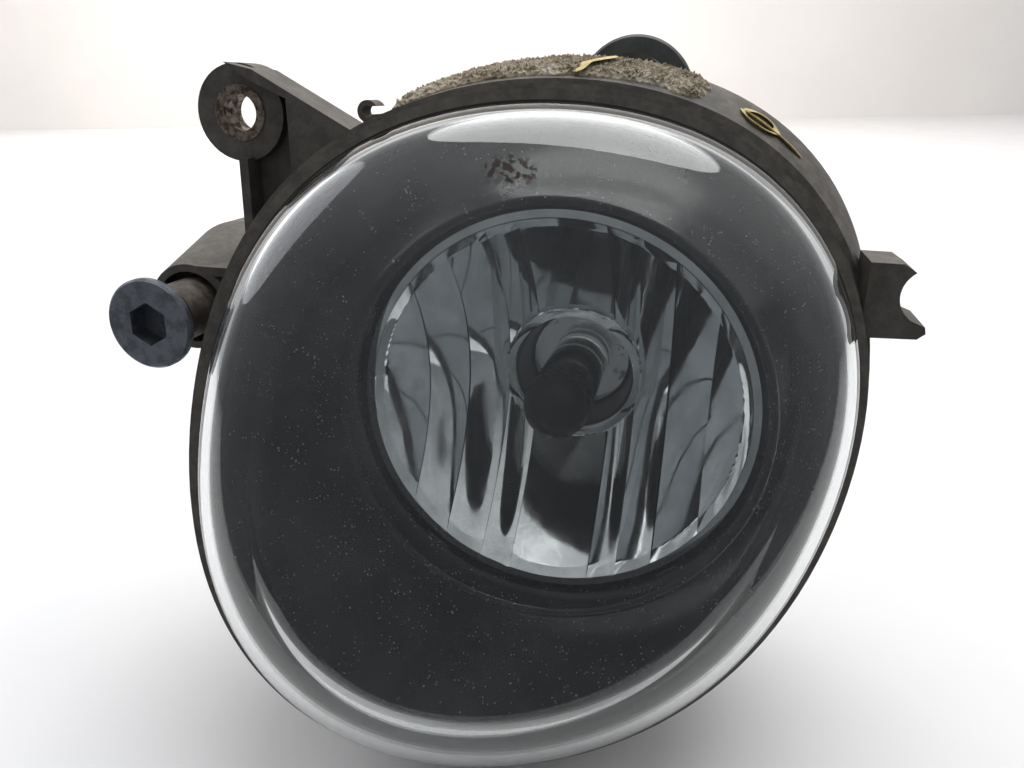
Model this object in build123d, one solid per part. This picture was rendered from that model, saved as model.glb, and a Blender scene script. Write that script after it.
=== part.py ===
from build123d import *
import math
import os

# Front fog lamp with an aimed reflector, all sizes in millimetres.
# The design frame has its origin at the bulb's filament, which is the reflector's focal point:
# +X to the right as seen from the front, +Y towards the back of the lamp, +Z up.
# Every piece is written out about the upper mounting ear's bore, at the front of its steel sleeve.

# ---- clearances ----
RUNNING = 0.05  # radial play of a pin, screw or ring in its bore
MOVING = 0.3  # gap between faces that move past each other
WALL = 2.4  # moulded wall of the housing

# ---- lens outline: a circle pulled out along one diagonal, with a slight three- and four-way swell ----
LENS_RADIUS = 59.1
LENS_SWELLS = ((2, 0.054, 54.0), (3, 0.0157, 12.5), (4, 0.0152, 41.6))  # waves, share of radius, degrees
LENS_CENTRE = (-5.2, -4.5)  # from the lamp axis, in the plane of the rim
LENS_Y = -21.0  # where the rim's plane crosses the lamp axis
LENS_SWEEP = 12.0  # degrees that the rim's plane faces outboard
LENS_RAKE = 12.0  # degrees that it faces up
OUTLINE_POINTS = 36

# ---- lens ----
LENS_WALL = 2.6
LENS_SHOULDER_WIDTH = 13.0
LENS_SHOULDER_HEIGHT = 14.6
LENS_SKIRT = 6.0  # how far the rim reaches back into the housing's groove
SHOULDER_STEPS = 5

# ---- groove and flange of the housing ----
SEAL_THICKNESS = 0.7
GROOVE_WALL = 1.8
GROOVE_LIP = 0.4  # how far the groove's outer wall stops short of the rim's plane
SEAL_BED = 1.2  # seal under the lens skirt
FLANGE_DEPTH = 9.0
FLANGE_GROW = 4.2
FLANGE_STEP = 4.2  # the outer layer of the flange starts this far behind the rim
INNER_WALL = 1.8
INNER_WALL_GAP = 0.5  # between the lens skirt and the groove's inner wall
INNER_WALL_FRONT = -5.2

# ---- housing drum: it straightens from the lens's tilt to square, then turns in to the rear wall ----
DRUM_RISE = 3.2  # the square section stands this much higher than the lens
DRUM_FULL_DEPTH = 38.0  # from the rim's plane to the square section
DRUM_FULL_GROW = 3.2  # its growth past the lens outline
DRUM_TURN_DEPTH = 16.5
DRUM_TURN_WIDTH = 18.0
DRUM_STEPS = 3
TURN_STEPS = 4

# ---- bezel ----
BEZEL_THICKNESS = 1.8
BEZEL_EDGE_GAP = 0.6  # inside the lens wall
BEZEL_EDGE_FRONT = -2.6
BEZEL_SAG = 2.2
LIP_RADIUS = 37.3
LIP_WALL = 1.5
LIP_Y = -20.5
LIP_TILT = 0.27

# ---- reflector ----
FOCAL_LENGTH = 11.2
REFLECTOR_WALL = 1.4
RIM_Y = -16.0
SKIRT_LENGTH = 7.0
NECK_WALL = 1.6
NECK_END_Y = 13.0
NECK_FLANGE_THICKNESS = 2.0

# ---- reflector pivot, across the lamp under the bowl ----
PIVOT_Y = 3.0
PIVOT_Z = -38.0
PIN_RADIUS = 2.0
PIN_END = 31.2
LUG_INNER = 20.0
LUG_WIDTH = 3.5
POST_INNER = 26.0
POST_WIDTH = 4.5
POST_HALF_LENGTH = 6.0
BUSH_WALL = 1.55
LUG_TOP_Z = -24.0
LUG_BACK = 4.5  # behind the pins
ARM_HALF_HEIGHT = 2.2
ARM_BACK = 3.0
ARM_ROOT_X = -28.0

# ---- aiming screw ----
SCREW_X = -LENS_RADIUS - 15.4
SCREW_Z = 12.8
SCREW_HEAD_RADIUS = 8.5
SCREW_HEAD_Y = -27.0
SCREW_HEAD_EDGE = 1.5
SCREW_CONE = 3.6
SCREW_RADIUS = 4.0
SCREW_END_Y = 14.0
HEX_ACROSS_FLATS = 7.2
HEX_DEPTH = 4.2
SLEEVE_RADIUS = SCREW_RADIUS + 1.7
SLEEVE_FRONT_Y = -21.5
TOWER_WALL_Y = -8.0  # front face of the wall that the sleeve is pressed in
TOWER_WALL = 3.5
CLIP_RADIUS = SCREW_RADIUS + 2.6
CLIP_THICKNESS = 0.8
SCREW_RING_THICKNESS = 1.8
SCREW_GROOVE_DEPTH = 0.8

# ---- adjuster tower ----
HOOD_FRONT_Y = -13.5
HOOD_FRONT_RADIUS = 8.6
HOOD_WALL = 1.6
TOWER_RADIUS = 14.0
TOWER_FULL_Y = 7.0
TOWER_END_Y = 22.5
TOWER_NARROWING = 1.5  # of the space inside, at its front wall
WINDOW_X = (SCREW_X + 6.5, SCREW_X + 24.5)  # the opening from the tower into the drum
WINDOW_HALF_HEIGHT = 7.0
HOOD_FLAT = (6.6, 8.4)  # the flat web above the hood, about the screw
HOOD_FLAT_END_X = SCREW_X + 18.5

# ---- adjuster nut and ball stud ----
NUT_HALF = 6.5
NUT_HALF_LENGTH = 4.0
SOCKET_HALF_LENGTH = 4.6
SOCKET_HALF_HEIGHT = 5.0
SOCKET_LEFT = SCREW_X + 13.5
SOCKET_RIGHT = SCREW_X + 23.0
BALL_X = SCREW_X + 19.0
BALL_RADIUS = 3.0
STUD_RADIUS = 1.6
STUD_PAD_X = SCREW_X + 28.0
STUD_PAD_WIDTH = 3.0
STUD_PAD_HALF = 4.5
AIM_TRAVEL = 2.2

# ---- bulb and its holder ----
GLASS_RADIUS = 6.0
GLASS_WALL = 1.0
TIP_CENTRE_Y = -13.0
TIP_COAT = 0.2
TIP_COAT_SKIRT = 3.6
GLASS_PINCH_Y = 9.0
GLASS_END_Y = 19.0
FILAMENT_LENGTH = 4.6
FILAMENT_RADIUS = 0.8
WIRE_RADIUS = 0.35
WIRE_SPREAD = 2.6
COLLAR_RADIUS = GLASS_RADIUS + 4.3
COLLAR_Y = 17.6
COLLAR_THICKNESS = 0.8
COLLAR_TUBE_RADIUS = GLASS_RADIUS + 2.2
COLLAR_END_Y = 24.0
HOLDER_THROAT_Y = 17.0
HOLDER_BORE = 12.9
HOLDER_RADIUS = HOLDER_BORE + 2.6
HOLDER_END_Y = 31.0
NECK_FLANGE_RADIUS = HOLDER_RADIUS + 2.0  # of the flanges of neck and holder
HOLDER_FLANGE_THICKNESS = 2.5
POCKET_Y = 18.8
TAB_Y = 22.4
TAB_THICKNESS = 2.2
LUG_RADIUS = HOLDER_BORE - 0.4
LUG_HALF_ANGLE = 11.0
NOTCH_HALF_ANGLE = 15.0
LUG_COUNT = 3
TWIST_ANGLE = 45.0
BASE_RADIUS = HOLDER_BORE - 2.4
HOLDER_THROAT_RADIUS = max(COLLAR_RADIUS + 0.4, BASE_RADIUS + 0.2)  # clears the collar and the base
HOLDER_MOUTH_RADIUS = HOLDER_THROAT_RADIUS + 1.2
NECK_BORE = HOLDER_MOUTH_RADIUS + 0.5  # of the reflector, round the holder
PLUG_RADIUS = HOLDER_BORE - 0.3
PLUG_Y = 25.4
RING_GROOVE_Y = 28.0
RING_THICKNESS = 1.8
BASE_FLANGE_RADIUS = HOLDER_RADIUS - 0.9
BASE_FLANGE_THICKNESS = 2.6
BASE_NECK_RADIUS = 9.5
SOCKET_BLOCK_LENGTH = 14.0
SOCKET_BLOCK_HALF = 9.5
SOCKET_BLOCK_BOTTOM = -26.0
SOCKET_WALL = 2.2
SOCKET_FLOOR_Z = -12.0
BLADE_WIDTH = 2.8
BLADE_THICKNESS = 0.8
BLADE_SPREAD = 3.6
BLADE_LENGTH = 10.0
HOLDER_SCREW_COUNT = 3
HOLDER_SCREW_RADIUS = 1.5
HOLDER_SCREW_HEAD = 2.6
HOLDER_SCREW_CIRCLE = HOLDER_RADIUS + 4.5
HOLDER_EAR_RADIUS = 4.0

# ---- rear opening and its rubber boot ----
REAR_Y = LENS_Y + DRUM_FULL_DEPTH + DRUM_TURN_DEPTH  # outside of the rear wall
REAR_BORE = 24.0
COLLAR_WALL = 2.4
REAR_COLLAR_END_Y = REAR_Y + 5.0
SOCKET_BLOCK_Y = REAR_COLLAR_END_Y + 3.7  # the connector socket clears the boot
BOOT_THICKNESS = 1.35
BOOT_LEG = 4.0
BOOT_LIP_LENGTH = 5.0
CLAMP_THICKNESS = 0.9
CLAMP_WIDTH = 3.0

# ---- upper mounting ear ----
EAR_X = -LENS_RADIUS - 4.1
EAR_Z = LENS_RADIUS - 9.3
EAR_RADIUS = 8.8
EAR_FRONT_Y = -8.0
EAR_THICKNESS = 6.0
EAR_SLEEVE_RADIUS = 5.1
EAR_BORE = 3.4
EAR_SLEEVE_PROUD = 0.2
PLATE_CORNERS = ((2.0, 8.5), (23.2, -3.8), (17.2, -15.8), (1.2, -23.8), (1.0, -8.7))  # about the ear
PLATE_SET_BACK = 2.2
GUSSET_CORNERS = ((-0.6, 8.8), (5.0, 7.6), (24.7, -2.8), (11.7, -13.8), (11.3, 2.8), (4.6, 5.6))
GUSSET_PROUD = 3.5
RIB_X = (0.4, 2.2)
RIB_BOTTOM = -25.8
RIB_TOP = -8.0
RIB_PROUD = 2.5

# ---- curled hook on the flange ----
HOOK_X = -0.6024 * LENS_RADIUS
HOOK_Z = 0.8613 * LENS_RADIUS
HOOK_RADIUS = 1.9
HOOK_WALL = 0.9
HOOK_Y = (-13.0, -9.0)
HOOK_FOOT = 3.6  # from the curl's centre down into the flange

# ---- side fork ----
FORK_BACK_Y = 8.0
FORK_DEPTH = 12.0
FORK_ROOT_X = LENS_RADIUS - 7.1
FORK_NOTCH_RADIUS = 5.0
FORK_CORNERS = ((0, 28.6), (5.4, 28.6), (7.6, 27.2), (7.6, 19.0), (10.4, 17.9), (10.7, 16.7), (9.4, 15.6), (0, 15.2))
FORK_NOTCH = (FORK_ROOT_X + 10.5, 23.2)

# ---- breather on the rear top ----
VENT_X = 6.0
VENT_Z = LENS_RADIUS - 5.1
VENT_SPIGOT_RADIUS = 8.5
VENT_BORE = 5.0
VENT_SPIGOT_END_Y = REAR_Y + 6.5
VENT_CAP_RADIUS = 12.5
VENT_CAP_FRONT_Y = REAR_Y + 1.5
VENT_CAP_END_Y = REAR_Y + 10.0
VENT_SLOT_WIDTH = 3.0
MEMBRANE_THICKNESS = 0.6

# ---- foam strip on top of the drum ----
FOAM_THICKNESS = 1.4
FOAM_LEFT = -31.0
FOAM_RIGHT = 21.0
FOAM_FRONT_Y = 0.8
FOAM_BACK_Y = 24.0

ORIGIN = (EAR_X, EAR_FRONT_Y - EAR_SLEEVE_PROUD, EAR_Z)


# ---- helpers ----
def write(name, shape):
    """Moves a piece from the design frame to the ear's bore and writes it."""
    solids = shape.solids()
    whole = solids[0] if len(solids) == 1 else Compound(solids)
    to_ear = Location((-ORIGIN[0], -ORIGIN[1], -ORIGIN[2]))
    export_step(whole.moved(to_ear), "parts/" + name + ".step")


def block(x_range, y_range, z_range):
    """A box between two corners."""
    low = (x_range[0], y_range[0], z_range[0])
    high = (x_range[1], y_range[1], z_range[1])
    centre = [(a + b) / 2 for a, b in zip(low, high)]
    return Pos(*centre) * Box(*(b - a for a, b in zip(low, high)))


def rod_y(x, z, y_start, y_end, radius):
    """A cylinder along the lamp axis."""
    base = Plane(origin=(x, y_start, z), z_dir=(0, 1, 0))
    return Solid.make_cylinder(radius, y_end - y_start, base)


def rod_x(y, z, x_start, x_end, radius):
    """A cylinder across the lamp."""
    base = Plane(origin=(x_start, y, z), z_dir=(1, 0, 0))
    return Solid.make_cylinder(radius, x_end - x_start, base)


def turned(profile, x=0.0, z=0.0):
    """A closed (radius, y) profile turned about a line along Y."""
    return Pos(x, 0, z) * revolve(make_face(Polyline(*profile, close=True)), Axis.Y)


def prism_y(outline_xz, y_start, y_end):
    """A flat outline in X and Z, carried along Y."""
    corners = [Vector(x, y_start, z) for x, z in outline_xz]
    face = Face(Wire.make_polygon(corners, close=True))
    return Solid.extrude(face, Vector(0, y_end - y_start, 0))


def polar(radius, degrees):
    """X and Z of a point about the lamp axis."""
    return radius * math.cos(math.radians(degrees)), radius * math.sin(math.radians(degrees))


def wedge(radius, degrees, half_angle, y_start, y_end):
    """A pie slice about the lamp axis, centred on an angle from +X towards +Z."""
    far = radius / math.cos(math.radians(half_angle))
    corners = [(0, 0), polar(far, degrees - half_angle), polar(far, degrees + half_angle)]
    return prism_y(corners, y_start, y_end)


# ---- the lens outline and its plane ----
def tilted_plane(y, tilt):
    """The plane through the lamp axis at y: tilt 1 is parallel to the lens rim, 0 is square to the axis."""
    sweep = math.radians(LENS_SWEEP * tilt)
    rake = math.radians(LENS_RAKE * tilt)
    outward = (math.sin(sweep) * math.cos(rake), -math.cos(sweep) * math.cos(rake), math.sin(rake))
    return Plane(origin=(0, y, 0), x_dir=(math.cos(sweep), math.sin(sweep), 0), z_dir=outward)


RIM_PLANE = tilted_plane(LENS_Y, 1.0)
LIP_PLANE = tilted_plane(LIP_Y, LIP_TILT)


def outline_radius(angle):
    """Radius of the lens rim at an angle from the plane's own X."""
    swell = sum(share * math.cos(waves * (angle - math.radians(phase))) for waves, share, phase in LENS_SWELLS)
    return LENS_RADIUS * (1 + swell)


def closed_curve(points):
    """A smooth closed wire through the points."""
    return Wire([Edge.make_spline(points, periodic=True)])


def outline_points(plane, grow, forward=0.0, rise=0.0):
    """The lens outline, grown outwards, on a plane moved forward along its normal."""
    points = []
    for step in range(OUTLINE_POINTS):
        angle = 2 * math.pi * step / OUTLINE_POINTS
        radius = outline_radius(angle) + grow
        across = LENS_CENTRE[0] + radius * math.cos(angle)
        up = LENS_CENTRE[1] + rise + radius * math.sin(angle)
        points.append(plane.from_local_coords(Vector(across, up, forward)))
    return points


def rim_ring(outer_grow, inner_grow, back, front):
    """A wall that follows the lens outline, between two distances in front of the rim's plane."""
    outer = closed_curve(outline_points(RIM_PLANE, outer_grow, back))
    inner = closed_curve(outline_points(RIM_PLANE, inner_grow, back))
    return Solid.extrude(Face(outer, [inner]), RIM_PLANE.z_dir * (front - back))


# ---- lens, seal, bezel ----
def lens_dome(inset, height, width):
    """The lens's outer or inner volume: a shoulder that is a quarter of an ellipse, and a flat face."""
    sections = []
    for step in range(SHOULDER_STEPS + 1):
        turn = math.radians(90.0 * step / SHOULDER_STEPS)
        grow = -inset - width * (1 - math.cos(turn))
        sections.append(closed_curve(outline_points(RIM_PLANE, grow, height * math.sin(turn))))
    return Solid.make_loft(sections)


def front_lens():
    outer = lens_dome(0.0, LENS_SHOULDER_HEIGHT, LENS_SHOULDER_WIDTH)
    inner = lens_dome(LENS_WALL, LENS_SHOULDER_HEIGHT - LENS_WALL, LENS_SHOULDER_WIDTH)
    return outer - inner + rim_ring(0.0, -LENS_WALL, -LENS_SKIRT, 0.0)


def lens_seal():
    """A bead up the outside of the lens skirt and under it."""
    bed_back = -LENS_SKIRT - SEAL_BED
    bed = rim_ring(SEAL_THICKNESS, -LENS_WALL - INNER_WALL_GAP, bed_back, -LENS_SKIRT)
    return bed + rim_ring(SEAL_THICKNESS, 0.0, -LENS_SKIRT, -GROOVE_LIP)


def bezel():
    """A dished ring from the round lip to the lens outline, with a tube behind the lip."""
    edge_grow = -LENS_WALL - BEZEL_EDGE_GAP
    edge = outline_points(RIM_PLANE, edge_grow, BEZEL_EDGE_FRONT)
    lip = []
    for step in range(OUTLINE_POINTS):
        angle = 2 * math.pi * step / OUTLINE_POINTS
        spot = Vector(LIP_RADIUS * math.cos(angle), LIP_RADIUS * math.sin(angle), 0)
        lip.append(LIP_PLANE.from_local_coords(spot))
    middle = [(a + b) * 0.5 + Vector(0, BEZEL_SAG, 0) for a, b in zip(lip, edge)]
    dish = Shell.make_loft([closed_curve(lip), closed_curve(middle), closed_curve(edge)])
    ring = Solid.extrude(dish.faces()[0], Vector(0, BEZEL_THICKNESS, 0))
    outer = LIP_RADIUS + LIP_WALL
    reach = 2 * LIP_RADIUS
    tube = turned([(LIP_RADIUS, RIM_Y), (outer, RIM_Y), (outer, RIM_Y - reach), (LIP_RADIUS, RIM_Y - reach)])
    behind_lip = LIP_PLANE * Pos(0, 0, -reach / 2) * Box(2 * reach, 2 * reach, reach)
    return ring + (tube & behind_lip)


# ---- reflector and its pivot ----
def bowl_y(radius, back=0.0):
    """Depth of the paraboloid at a radius: four focal lengths times depth is the radius squared."""
    return FOCAL_LENGTH + back - radius * radius / (4 * FOCAL_LENGTH)


RIM_RADIUS = math.sqrt(4 * FOCAL_LENGTH * (FOCAL_LENGTH - RIM_Y))
RIM_OUTER = RIM_RADIUS + REFLECTOR_WALL
BOWL_STEPS = 10


def bowl_curve(start_radius, end_radius, back):
    """Points along the paraboloid, from one radius to another."""
    step = (end_radius - start_radius) / BOWL_STEPS
    radii = [start_radius + step * count for count in range(BOWL_STEPS + 1)]
    return Spline(*[(radius, bowl_y(radius, back)) for radius in radii])


def bowl_inside():
    """The space inside the bowl, out past the rim."""
    curve = bowl_curve(0.0, RIM_RADIUS, 0.0)
    front_y = RIM_Y - 2 * REFLECTOR_WALL
    close = Polyline((RIM_RADIUS, RIM_Y), (RIM_RADIUS, front_y), (0, front_y), (0, bowl_y(0.0)))
    return revolve(make_face(curve + close), Axis.Y)


def bowl_shell():
    """The paraboloid wall, its rim skirt and its neck with a flange."""
    back = 1.6 * REFLECTOR_WALL
    neck_radius = NECK_BORE + NECK_WALL
    inner = bowl_curve(NECK_BORE, RIM_RADIUS, 0.0)
    skirt_end = RIM_Y + SKIRT_LENGTH
    outer = bowl_curve(RIM_RADIUS - 4 * REFLECTOR_WALL, neck_radius, back)
    flange_y = NECK_END_Y - NECK_FLANGE_THICKNESS
    rim = Polyline(
        (RIM_RADIUS, RIM_Y),
        (RIM_OUTER, RIM_Y),
        (RIM_OUTER, skirt_end),
        (RIM_RADIUS, skirt_end),
        (RIM_RADIUS - 4 * REFLECTOR_WALL, bowl_y(RIM_RADIUS - 4 * REFLECTOR_WALL, back)),
    )
    neck = Polyline(
        (neck_radius, bowl_y(neck_radius, back)),
        (neck_radius, flange_y),
        (NECK_FLANGE_RADIUS, flange_y),
        (NECK_FLANGE_RADIUS, NECK_END_Y),
        (NECK_BORE, NECK_END_Y),
        (NECK_BORE, bowl_y(NECK_BORE)),
    )
    return revolve(make_face(inner + rim + outer + neck), Axis.Y)


def screw_spots(count, circle, start=90.0):
    """X and Z of evenly spaced screws about the lamp axis."""
    return [polar(circle, start + 360.0 * number / count) for number in range(count)]


def reflector():
    lug_side = (PIVOT_Z - POST_HALF_LENGTH + 1, LUG_TOP_Z)
    lug_run = (RIM_Y + 2, PIVOT_Y + LUG_BACK)
    lugs = [block((LUG_INNER, LUG_INNER + LUG_WIDTH), lug_run, lug_side)]
    lugs.append(block((-LUG_INNER - LUG_WIDTH, -LUG_INNER), lug_run, lug_side))
    arm_z = (SCREW_Z - ARM_HALF_HEIGHT, SCREW_Z + ARM_HALF_HEIGHT)
    arm = block((STUD_PAD_X, ARM_ROOT_X), (RIM_Y + 2, PIVOT_Y + ARM_BACK), arm_z)
    pad_x = (STUD_PAD_X, STUD_PAD_X + STUD_PAD_WIDTH)
    pad_y = (PIVOT_Y - STUD_PAD_HALF, PIVOT_Y + STUD_PAD_HALF)
    pad_z = (SCREW_Z - STUD_PAD_HALF, SCREW_Z + STUD_PAD_HALF)
    outside = lugs[0] + lugs[1] + arm + block(pad_x, pad_y, pad_z) - bowl_inside()
    body = bowl_shell() + outside
    flange_y = NECK_END_Y - NECK_FLANGE_THICKNESS
    for x, z in screw_spots(HOLDER_SCREW_COUNT, HOLDER_SCREW_CIRCLE):
        body += rod_y(x, z, flange_y - 4, NECK_END_Y, HOLDER_EAR_RADIUS) - bowl_inside()
    for x, z in screw_spots(HOLDER_SCREW_COUNT, HOLDER_SCREW_CIRCLE):
        body -= rod_y(x, z, flange_y - 2, NECK_END_Y, HOLDER_SCREW_RADIUS)
    body -= rod_x(PIVOT_Y, PIVOT_Z, -PIN_END, PIN_END, PIN_RADIUS)
    return body - rod_x(PIVOT_Y, SCREW_Z, STUD_PAD_X, STUD_PAD_X + STUD_PAD_WIDTH, STUD_RADIUS)


def pivot_pins():
    right = rod_x(PIVOT_Y, PIVOT_Z, LUG_INNER, PIN_END, PIN_RADIUS)
    left = rod_x(PIVOT_Y, PIVOT_Z, -PIN_END, -LUG_INNER, PIN_RADIUS)
    return Compound([right, left])


def pivot_bushes():
    bushes = []
    bore = PIN_RADIUS + RUNNING
    for start in (POST_INNER, -POST_INNER - POST_WIDTH):
        sleeve = rod_x(PIVOT_Y, PIVOT_Z, start, start + POST_WIDTH, PIN_RADIUS + BUSH_WALL)
        bushes.append(sleeve - rod_x(PIVOT_Y, PIVOT_Z, start, start + POST_WIDTH, bore))
    return Compound(bushes)


def aim_ball_stud():
    """A ball on a stem that is pressed into the reflector's side arm."""
    stem = rod_x(PIVOT_Y, SCREW_Z, BALL_X, STUD_PAD_X + STUD_PAD_WIDTH, STUD_RADIUS)
    collar = rod_x(PIVOT_Y, SCREW_Z, STUD_PAD_X - 1.2, STUD_PAD_X, 1.9 * STUD_RADIUS)
    return stem + collar + Pos(BALL_X, PIVOT_Y, SCREW_Z) * Sphere(BALL_RADIUS)


# ---- aiming screw, nut, sleeve ----
WALL_BACK_Y = TOWER_WALL_Y + TOWER_WALL
CLIP_Y = WALL_BACK_Y + MOVING


def aim_screw():
    """A flat countersunk screw with a hexagon socket and a groove for its clip."""
    cone_y = SCREW_HEAD_Y + SCREW_HEAD_EDGE
    groove = SCREW_RADIUS - SCREW_GROOVE_DEPTH
    profile = [
        (0, SCREW_HEAD_Y),
        (SCREW_HEAD_RADIUS - 0.4, SCREW_HEAD_Y),
        (SCREW_HEAD_RADIUS, SCREW_HEAD_Y + 0.4),
        (SCREW_HEAD_RADIUS, cone_y),
        (SCREW_RADIUS, cone_y + SCREW_CONE),
        (SCREW_RADIUS, CLIP_Y),
        (groove, CLIP_Y),
        (groove, CLIP_Y + CLIP_THICKNESS),
        (SCREW_RADIUS, CLIP_Y + CLIP_THICKNESS),
        (SCREW_RADIUS, SCREW_END_Y - 1),
        (SCREW_RADIUS - 1, SCREW_END_Y),
        (0, SCREW_END_Y),
    ]
    corner = HEX_ACROSS_FLATS / math.sqrt(3)
    hexagon = []
    for number in range(6):
        x, z = polar(corner, 60 * number + 30)
        hexagon.append((SCREW_X + x, SCREW_Z + z))
    return turned(profile, SCREW_X, SCREW_Z) - prism_y(hexagon, SCREW_HEAD_Y - 1, SCREW_HEAD_Y + HEX_DEPTH)


def screw_clip():
    """An open retaining clip in the screw's groove, behind the tower's wall."""
    inner = SCREW_RADIUS - SCREW_GROOVE_DEPTH
    ring = rod_y(SCREW_X, SCREW_Z, CLIP_Y, CLIP_Y + CLIP_THICKNESS, CLIP_RADIUS)
    ring -= rod_y(SCREW_X, SCREW_Z, CLIP_Y, CLIP_Y + CLIP_THICKNESS, inner)
    mouth = (SCREW_X - inner + 0.4, SCREW_X + inner - 0.4)
    return ring - block(mouth, (CLIP_Y - 1, CLIP_Y + 2), (SCREW_Z - 2 * CLIP_RADIUS, SCREW_Z))


def screw_guide_sleeve():
    """The sleeve that the screw turns in, from under its head to the tower's wall."""
    bore = SCREW_RADIUS + RUNNING
    outer = SLEEVE_RADIUS
    seat_y = SLEEVE_FRONT_Y + 1.6
    ring_y = WALL_BACK_Y - SCREW_RING_THICKNESS
    profile = [
        (bore + 1.0, SLEEVE_FRONT_Y),
        (outer, SLEEVE_FRONT_Y),
        (outer, ring_y),
        (bore, ring_y),
        (bore, seat_y),
    ]
    return turned(profile, SCREW_X, SCREW_Z)


def screw_seal_ring():
    """A ring between the screw and the tower's wall, behind the sleeve."""
    middle = (SCREW_RADIUS + RUNNING + SLEEVE_RADIUS) / 2
    thickness = SLEEVE_RADIUS - SCREW_RADIUS - RUNNING
    centre_y = WALL_BACK_Y - SCREW_RING_THICKNESS / 2
    base = Plane(origin=(SCREW_X, centre_y, SCREW_Z), z_dir=(0, 1, 0))
    return Solid.make_torus(middle, thickness / 2, base)


def aim_nut():
    """A block on the screw's thread, with an arm that holds the reflector's ball."""
    nut_y = (PIVOT_Y - NUT_HALF_LENGTH, PIVOT_Y + NUT_HALF_LENGTH)
    socket_y = (PIVOT_Y - SOCKET_HALF_LENGTH, PIVOT_Y + SOCKET_HALF_LENGTH)
    arm_z = (SCREW_Z - SOCKET_HALF_HEIGHT, SCREW_Z + SOCKET_HALF_HEIGHT)
    body = block((SCREW_X - NUT_HALF, SCREW_X + NUT_HALF), nut_y, (SCREW_Z - NUT_HALF, SCREW_Z + NUT_HALF))
    body += block((SCREW_X, SOCKET_LEFT), nut_y, arm_z)
    body += block((SOCKET_LEFT, SOCKET_RIGHT), socket_y, arm_z)
    body -= rod_y(SCREW_X, SCREW_Z, nut_y[0], nut_y[1], SCREW_RADIUS + RUNNING)
    body -= Pos(BALL_X, PIVOT_Y, SCREW_Z) * Sphere(BALL_RADIUS + 3 * RUNNING)
    return body - rod_x(PIVOT_Y, SCREW_Z, BALL_X, SOCKET_RIGHT + 1, BALL_RADIUS * 0.85)


# ---- housing ----
def drum(grow, back):
    """The drum behind the flange: a straightening loft, then a quarter of an ellipse in to the rear wall."""
    flange_depth = FLANGE_DEPTH / -RIM_PLANE.z_dir.Y
    wires = []
    for step in range(DRUM_STEPS + 1):
        share = step / DRUM_STEPS
        plane = tilted_plane(LENS_Y + flange_depth + (DRUM_FULL_DEPTH - flange_depth) * share, 1 - share)
        past = FLANGE_GROW + (DRUM_FULL_GROW - FLANGE_GROW) * share
        wires.append(closed_curve(outline_points(plane, past + grow, 0.0, DRUM_RISE * share)))
    turn_wires = []
    for step in range(TURN_STEPS + 1):
        turn = math.radians(90.0 * step / TURN_STEPS)
        depth = DRUM_FULL_DEPTH + (DRUM_TURN_DEPTH + back) * math.sin(turn)
        past = DRUM_FULL_GROW - DRUM_TURN_WIDTH * (1 - math.cos(turn))
        square = tilted_plane(LENS_Y + depth, 0)
        turn_wires.append(closed_curve(outline_points(square, past + grow, 0.0, DRUM_RISE)))
    return Solid.make_loft(wires) + Solid.make_loft(turn_wires)


def tower(grow):
    """The cone and cylinder around the adjuster; a negative growth gives the space behind its wall."""
    full = TOWER_RADIUS + grow
    end_y = TOWER_END_Y + grow
    front_y = WALL_BACK_Y if grow < 0 else HOOD_FRONT_Y
    front_radius = full - TOWER_NARROWING if grow < 0 else HOOD_FRONT_RADIUS
    profile = [(0, front_y), (front_radius, front_y), (full, TOWER_FULL_Y), (full, end_y), (0, end_y)]
    return turned(profile, SCREW_X, SCREW_Z)


def ear_and_webs():
    """The mounting ear, the raised gusset beside it and the ribbed web under it."""
    back_y = EAR_FRONT_Y + EAR_THICKNESS
    ear = rod_y(EAR_X, EAR_Z, EAR_FRONT_Y, back_y, EAR_RADIUS)
    plate = [(EAR_X + x, EAR_Z + z) for x, z in PLATE_CORNERS]
    gusset = [(EAR_X + x, EAR_Z + z) for x, z in GUSSET_CORNERS]
    rib_z = (EAR_Z + RIB_BOTTOM, EAR_Z + RIB_TOP)
    rib = block((EAR_X + RIB_X[0], EAR_X + RIB_X[1]), (EAR_FRONT_Y - RIB_PROUD, back_y + 2), rib_z)
    body = ear + prism_y(plate, EAR_FRONT_Y + PLATE_SET_BACK, back_y)
    return body + prism_y(gusset, EAR_FRONT_Y - GUSSET_PROUD, back_y) + rib


def side_fork():
    """The forked lug that slips over a pin: a block with a half-round notch and a longer lower lip."""
    front_y = FORK_BACK_Y - FORK_DEPTH
    lug = prism_y([(FORK_ROOT_X + x, z) for x, z in FORK_CORNERS], front_y, FORK_BACK_Y)
    return lug - rod_y(FORK_NOTCH[0], FORK_NOTCH[1], front_y - 1, FORK_BACK_Y + 1, FORK_NOTCH_RADIUS)


def curled_hook():
    """A small open curl on the flange, left of the top."""
    curl = rod_y(HOOK_X, HOOK_Z, *HOOK_Y, HOOK_RADIUS) - rod_y(HOOK_X, HOOK_Z, *HOOK_Y, HOOK_RADIUS - HOOK_WALL)
    mouth_y = (HOOK_Y[0] - 1, HOOK_Y[1] + 1)
    curl -= block((HOOK_X, HOOK_X + 2 * HOOK_RADIUS), mouth_y, (HOOK_Z - HOOK_WALL / 2, HOOK_Z + HOOK_WALL))
    foot_z = (HOOK_Z - HOOK_FOOT, HOOK_Z - HOOK_RADIUS + HOOK_WALL)
    return curl + block((HOOK_X - HOOK_WALL, HOOK_X + HOOK_RADIUS + HOOK_WALL), HOOK_Y, foot_z)


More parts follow.
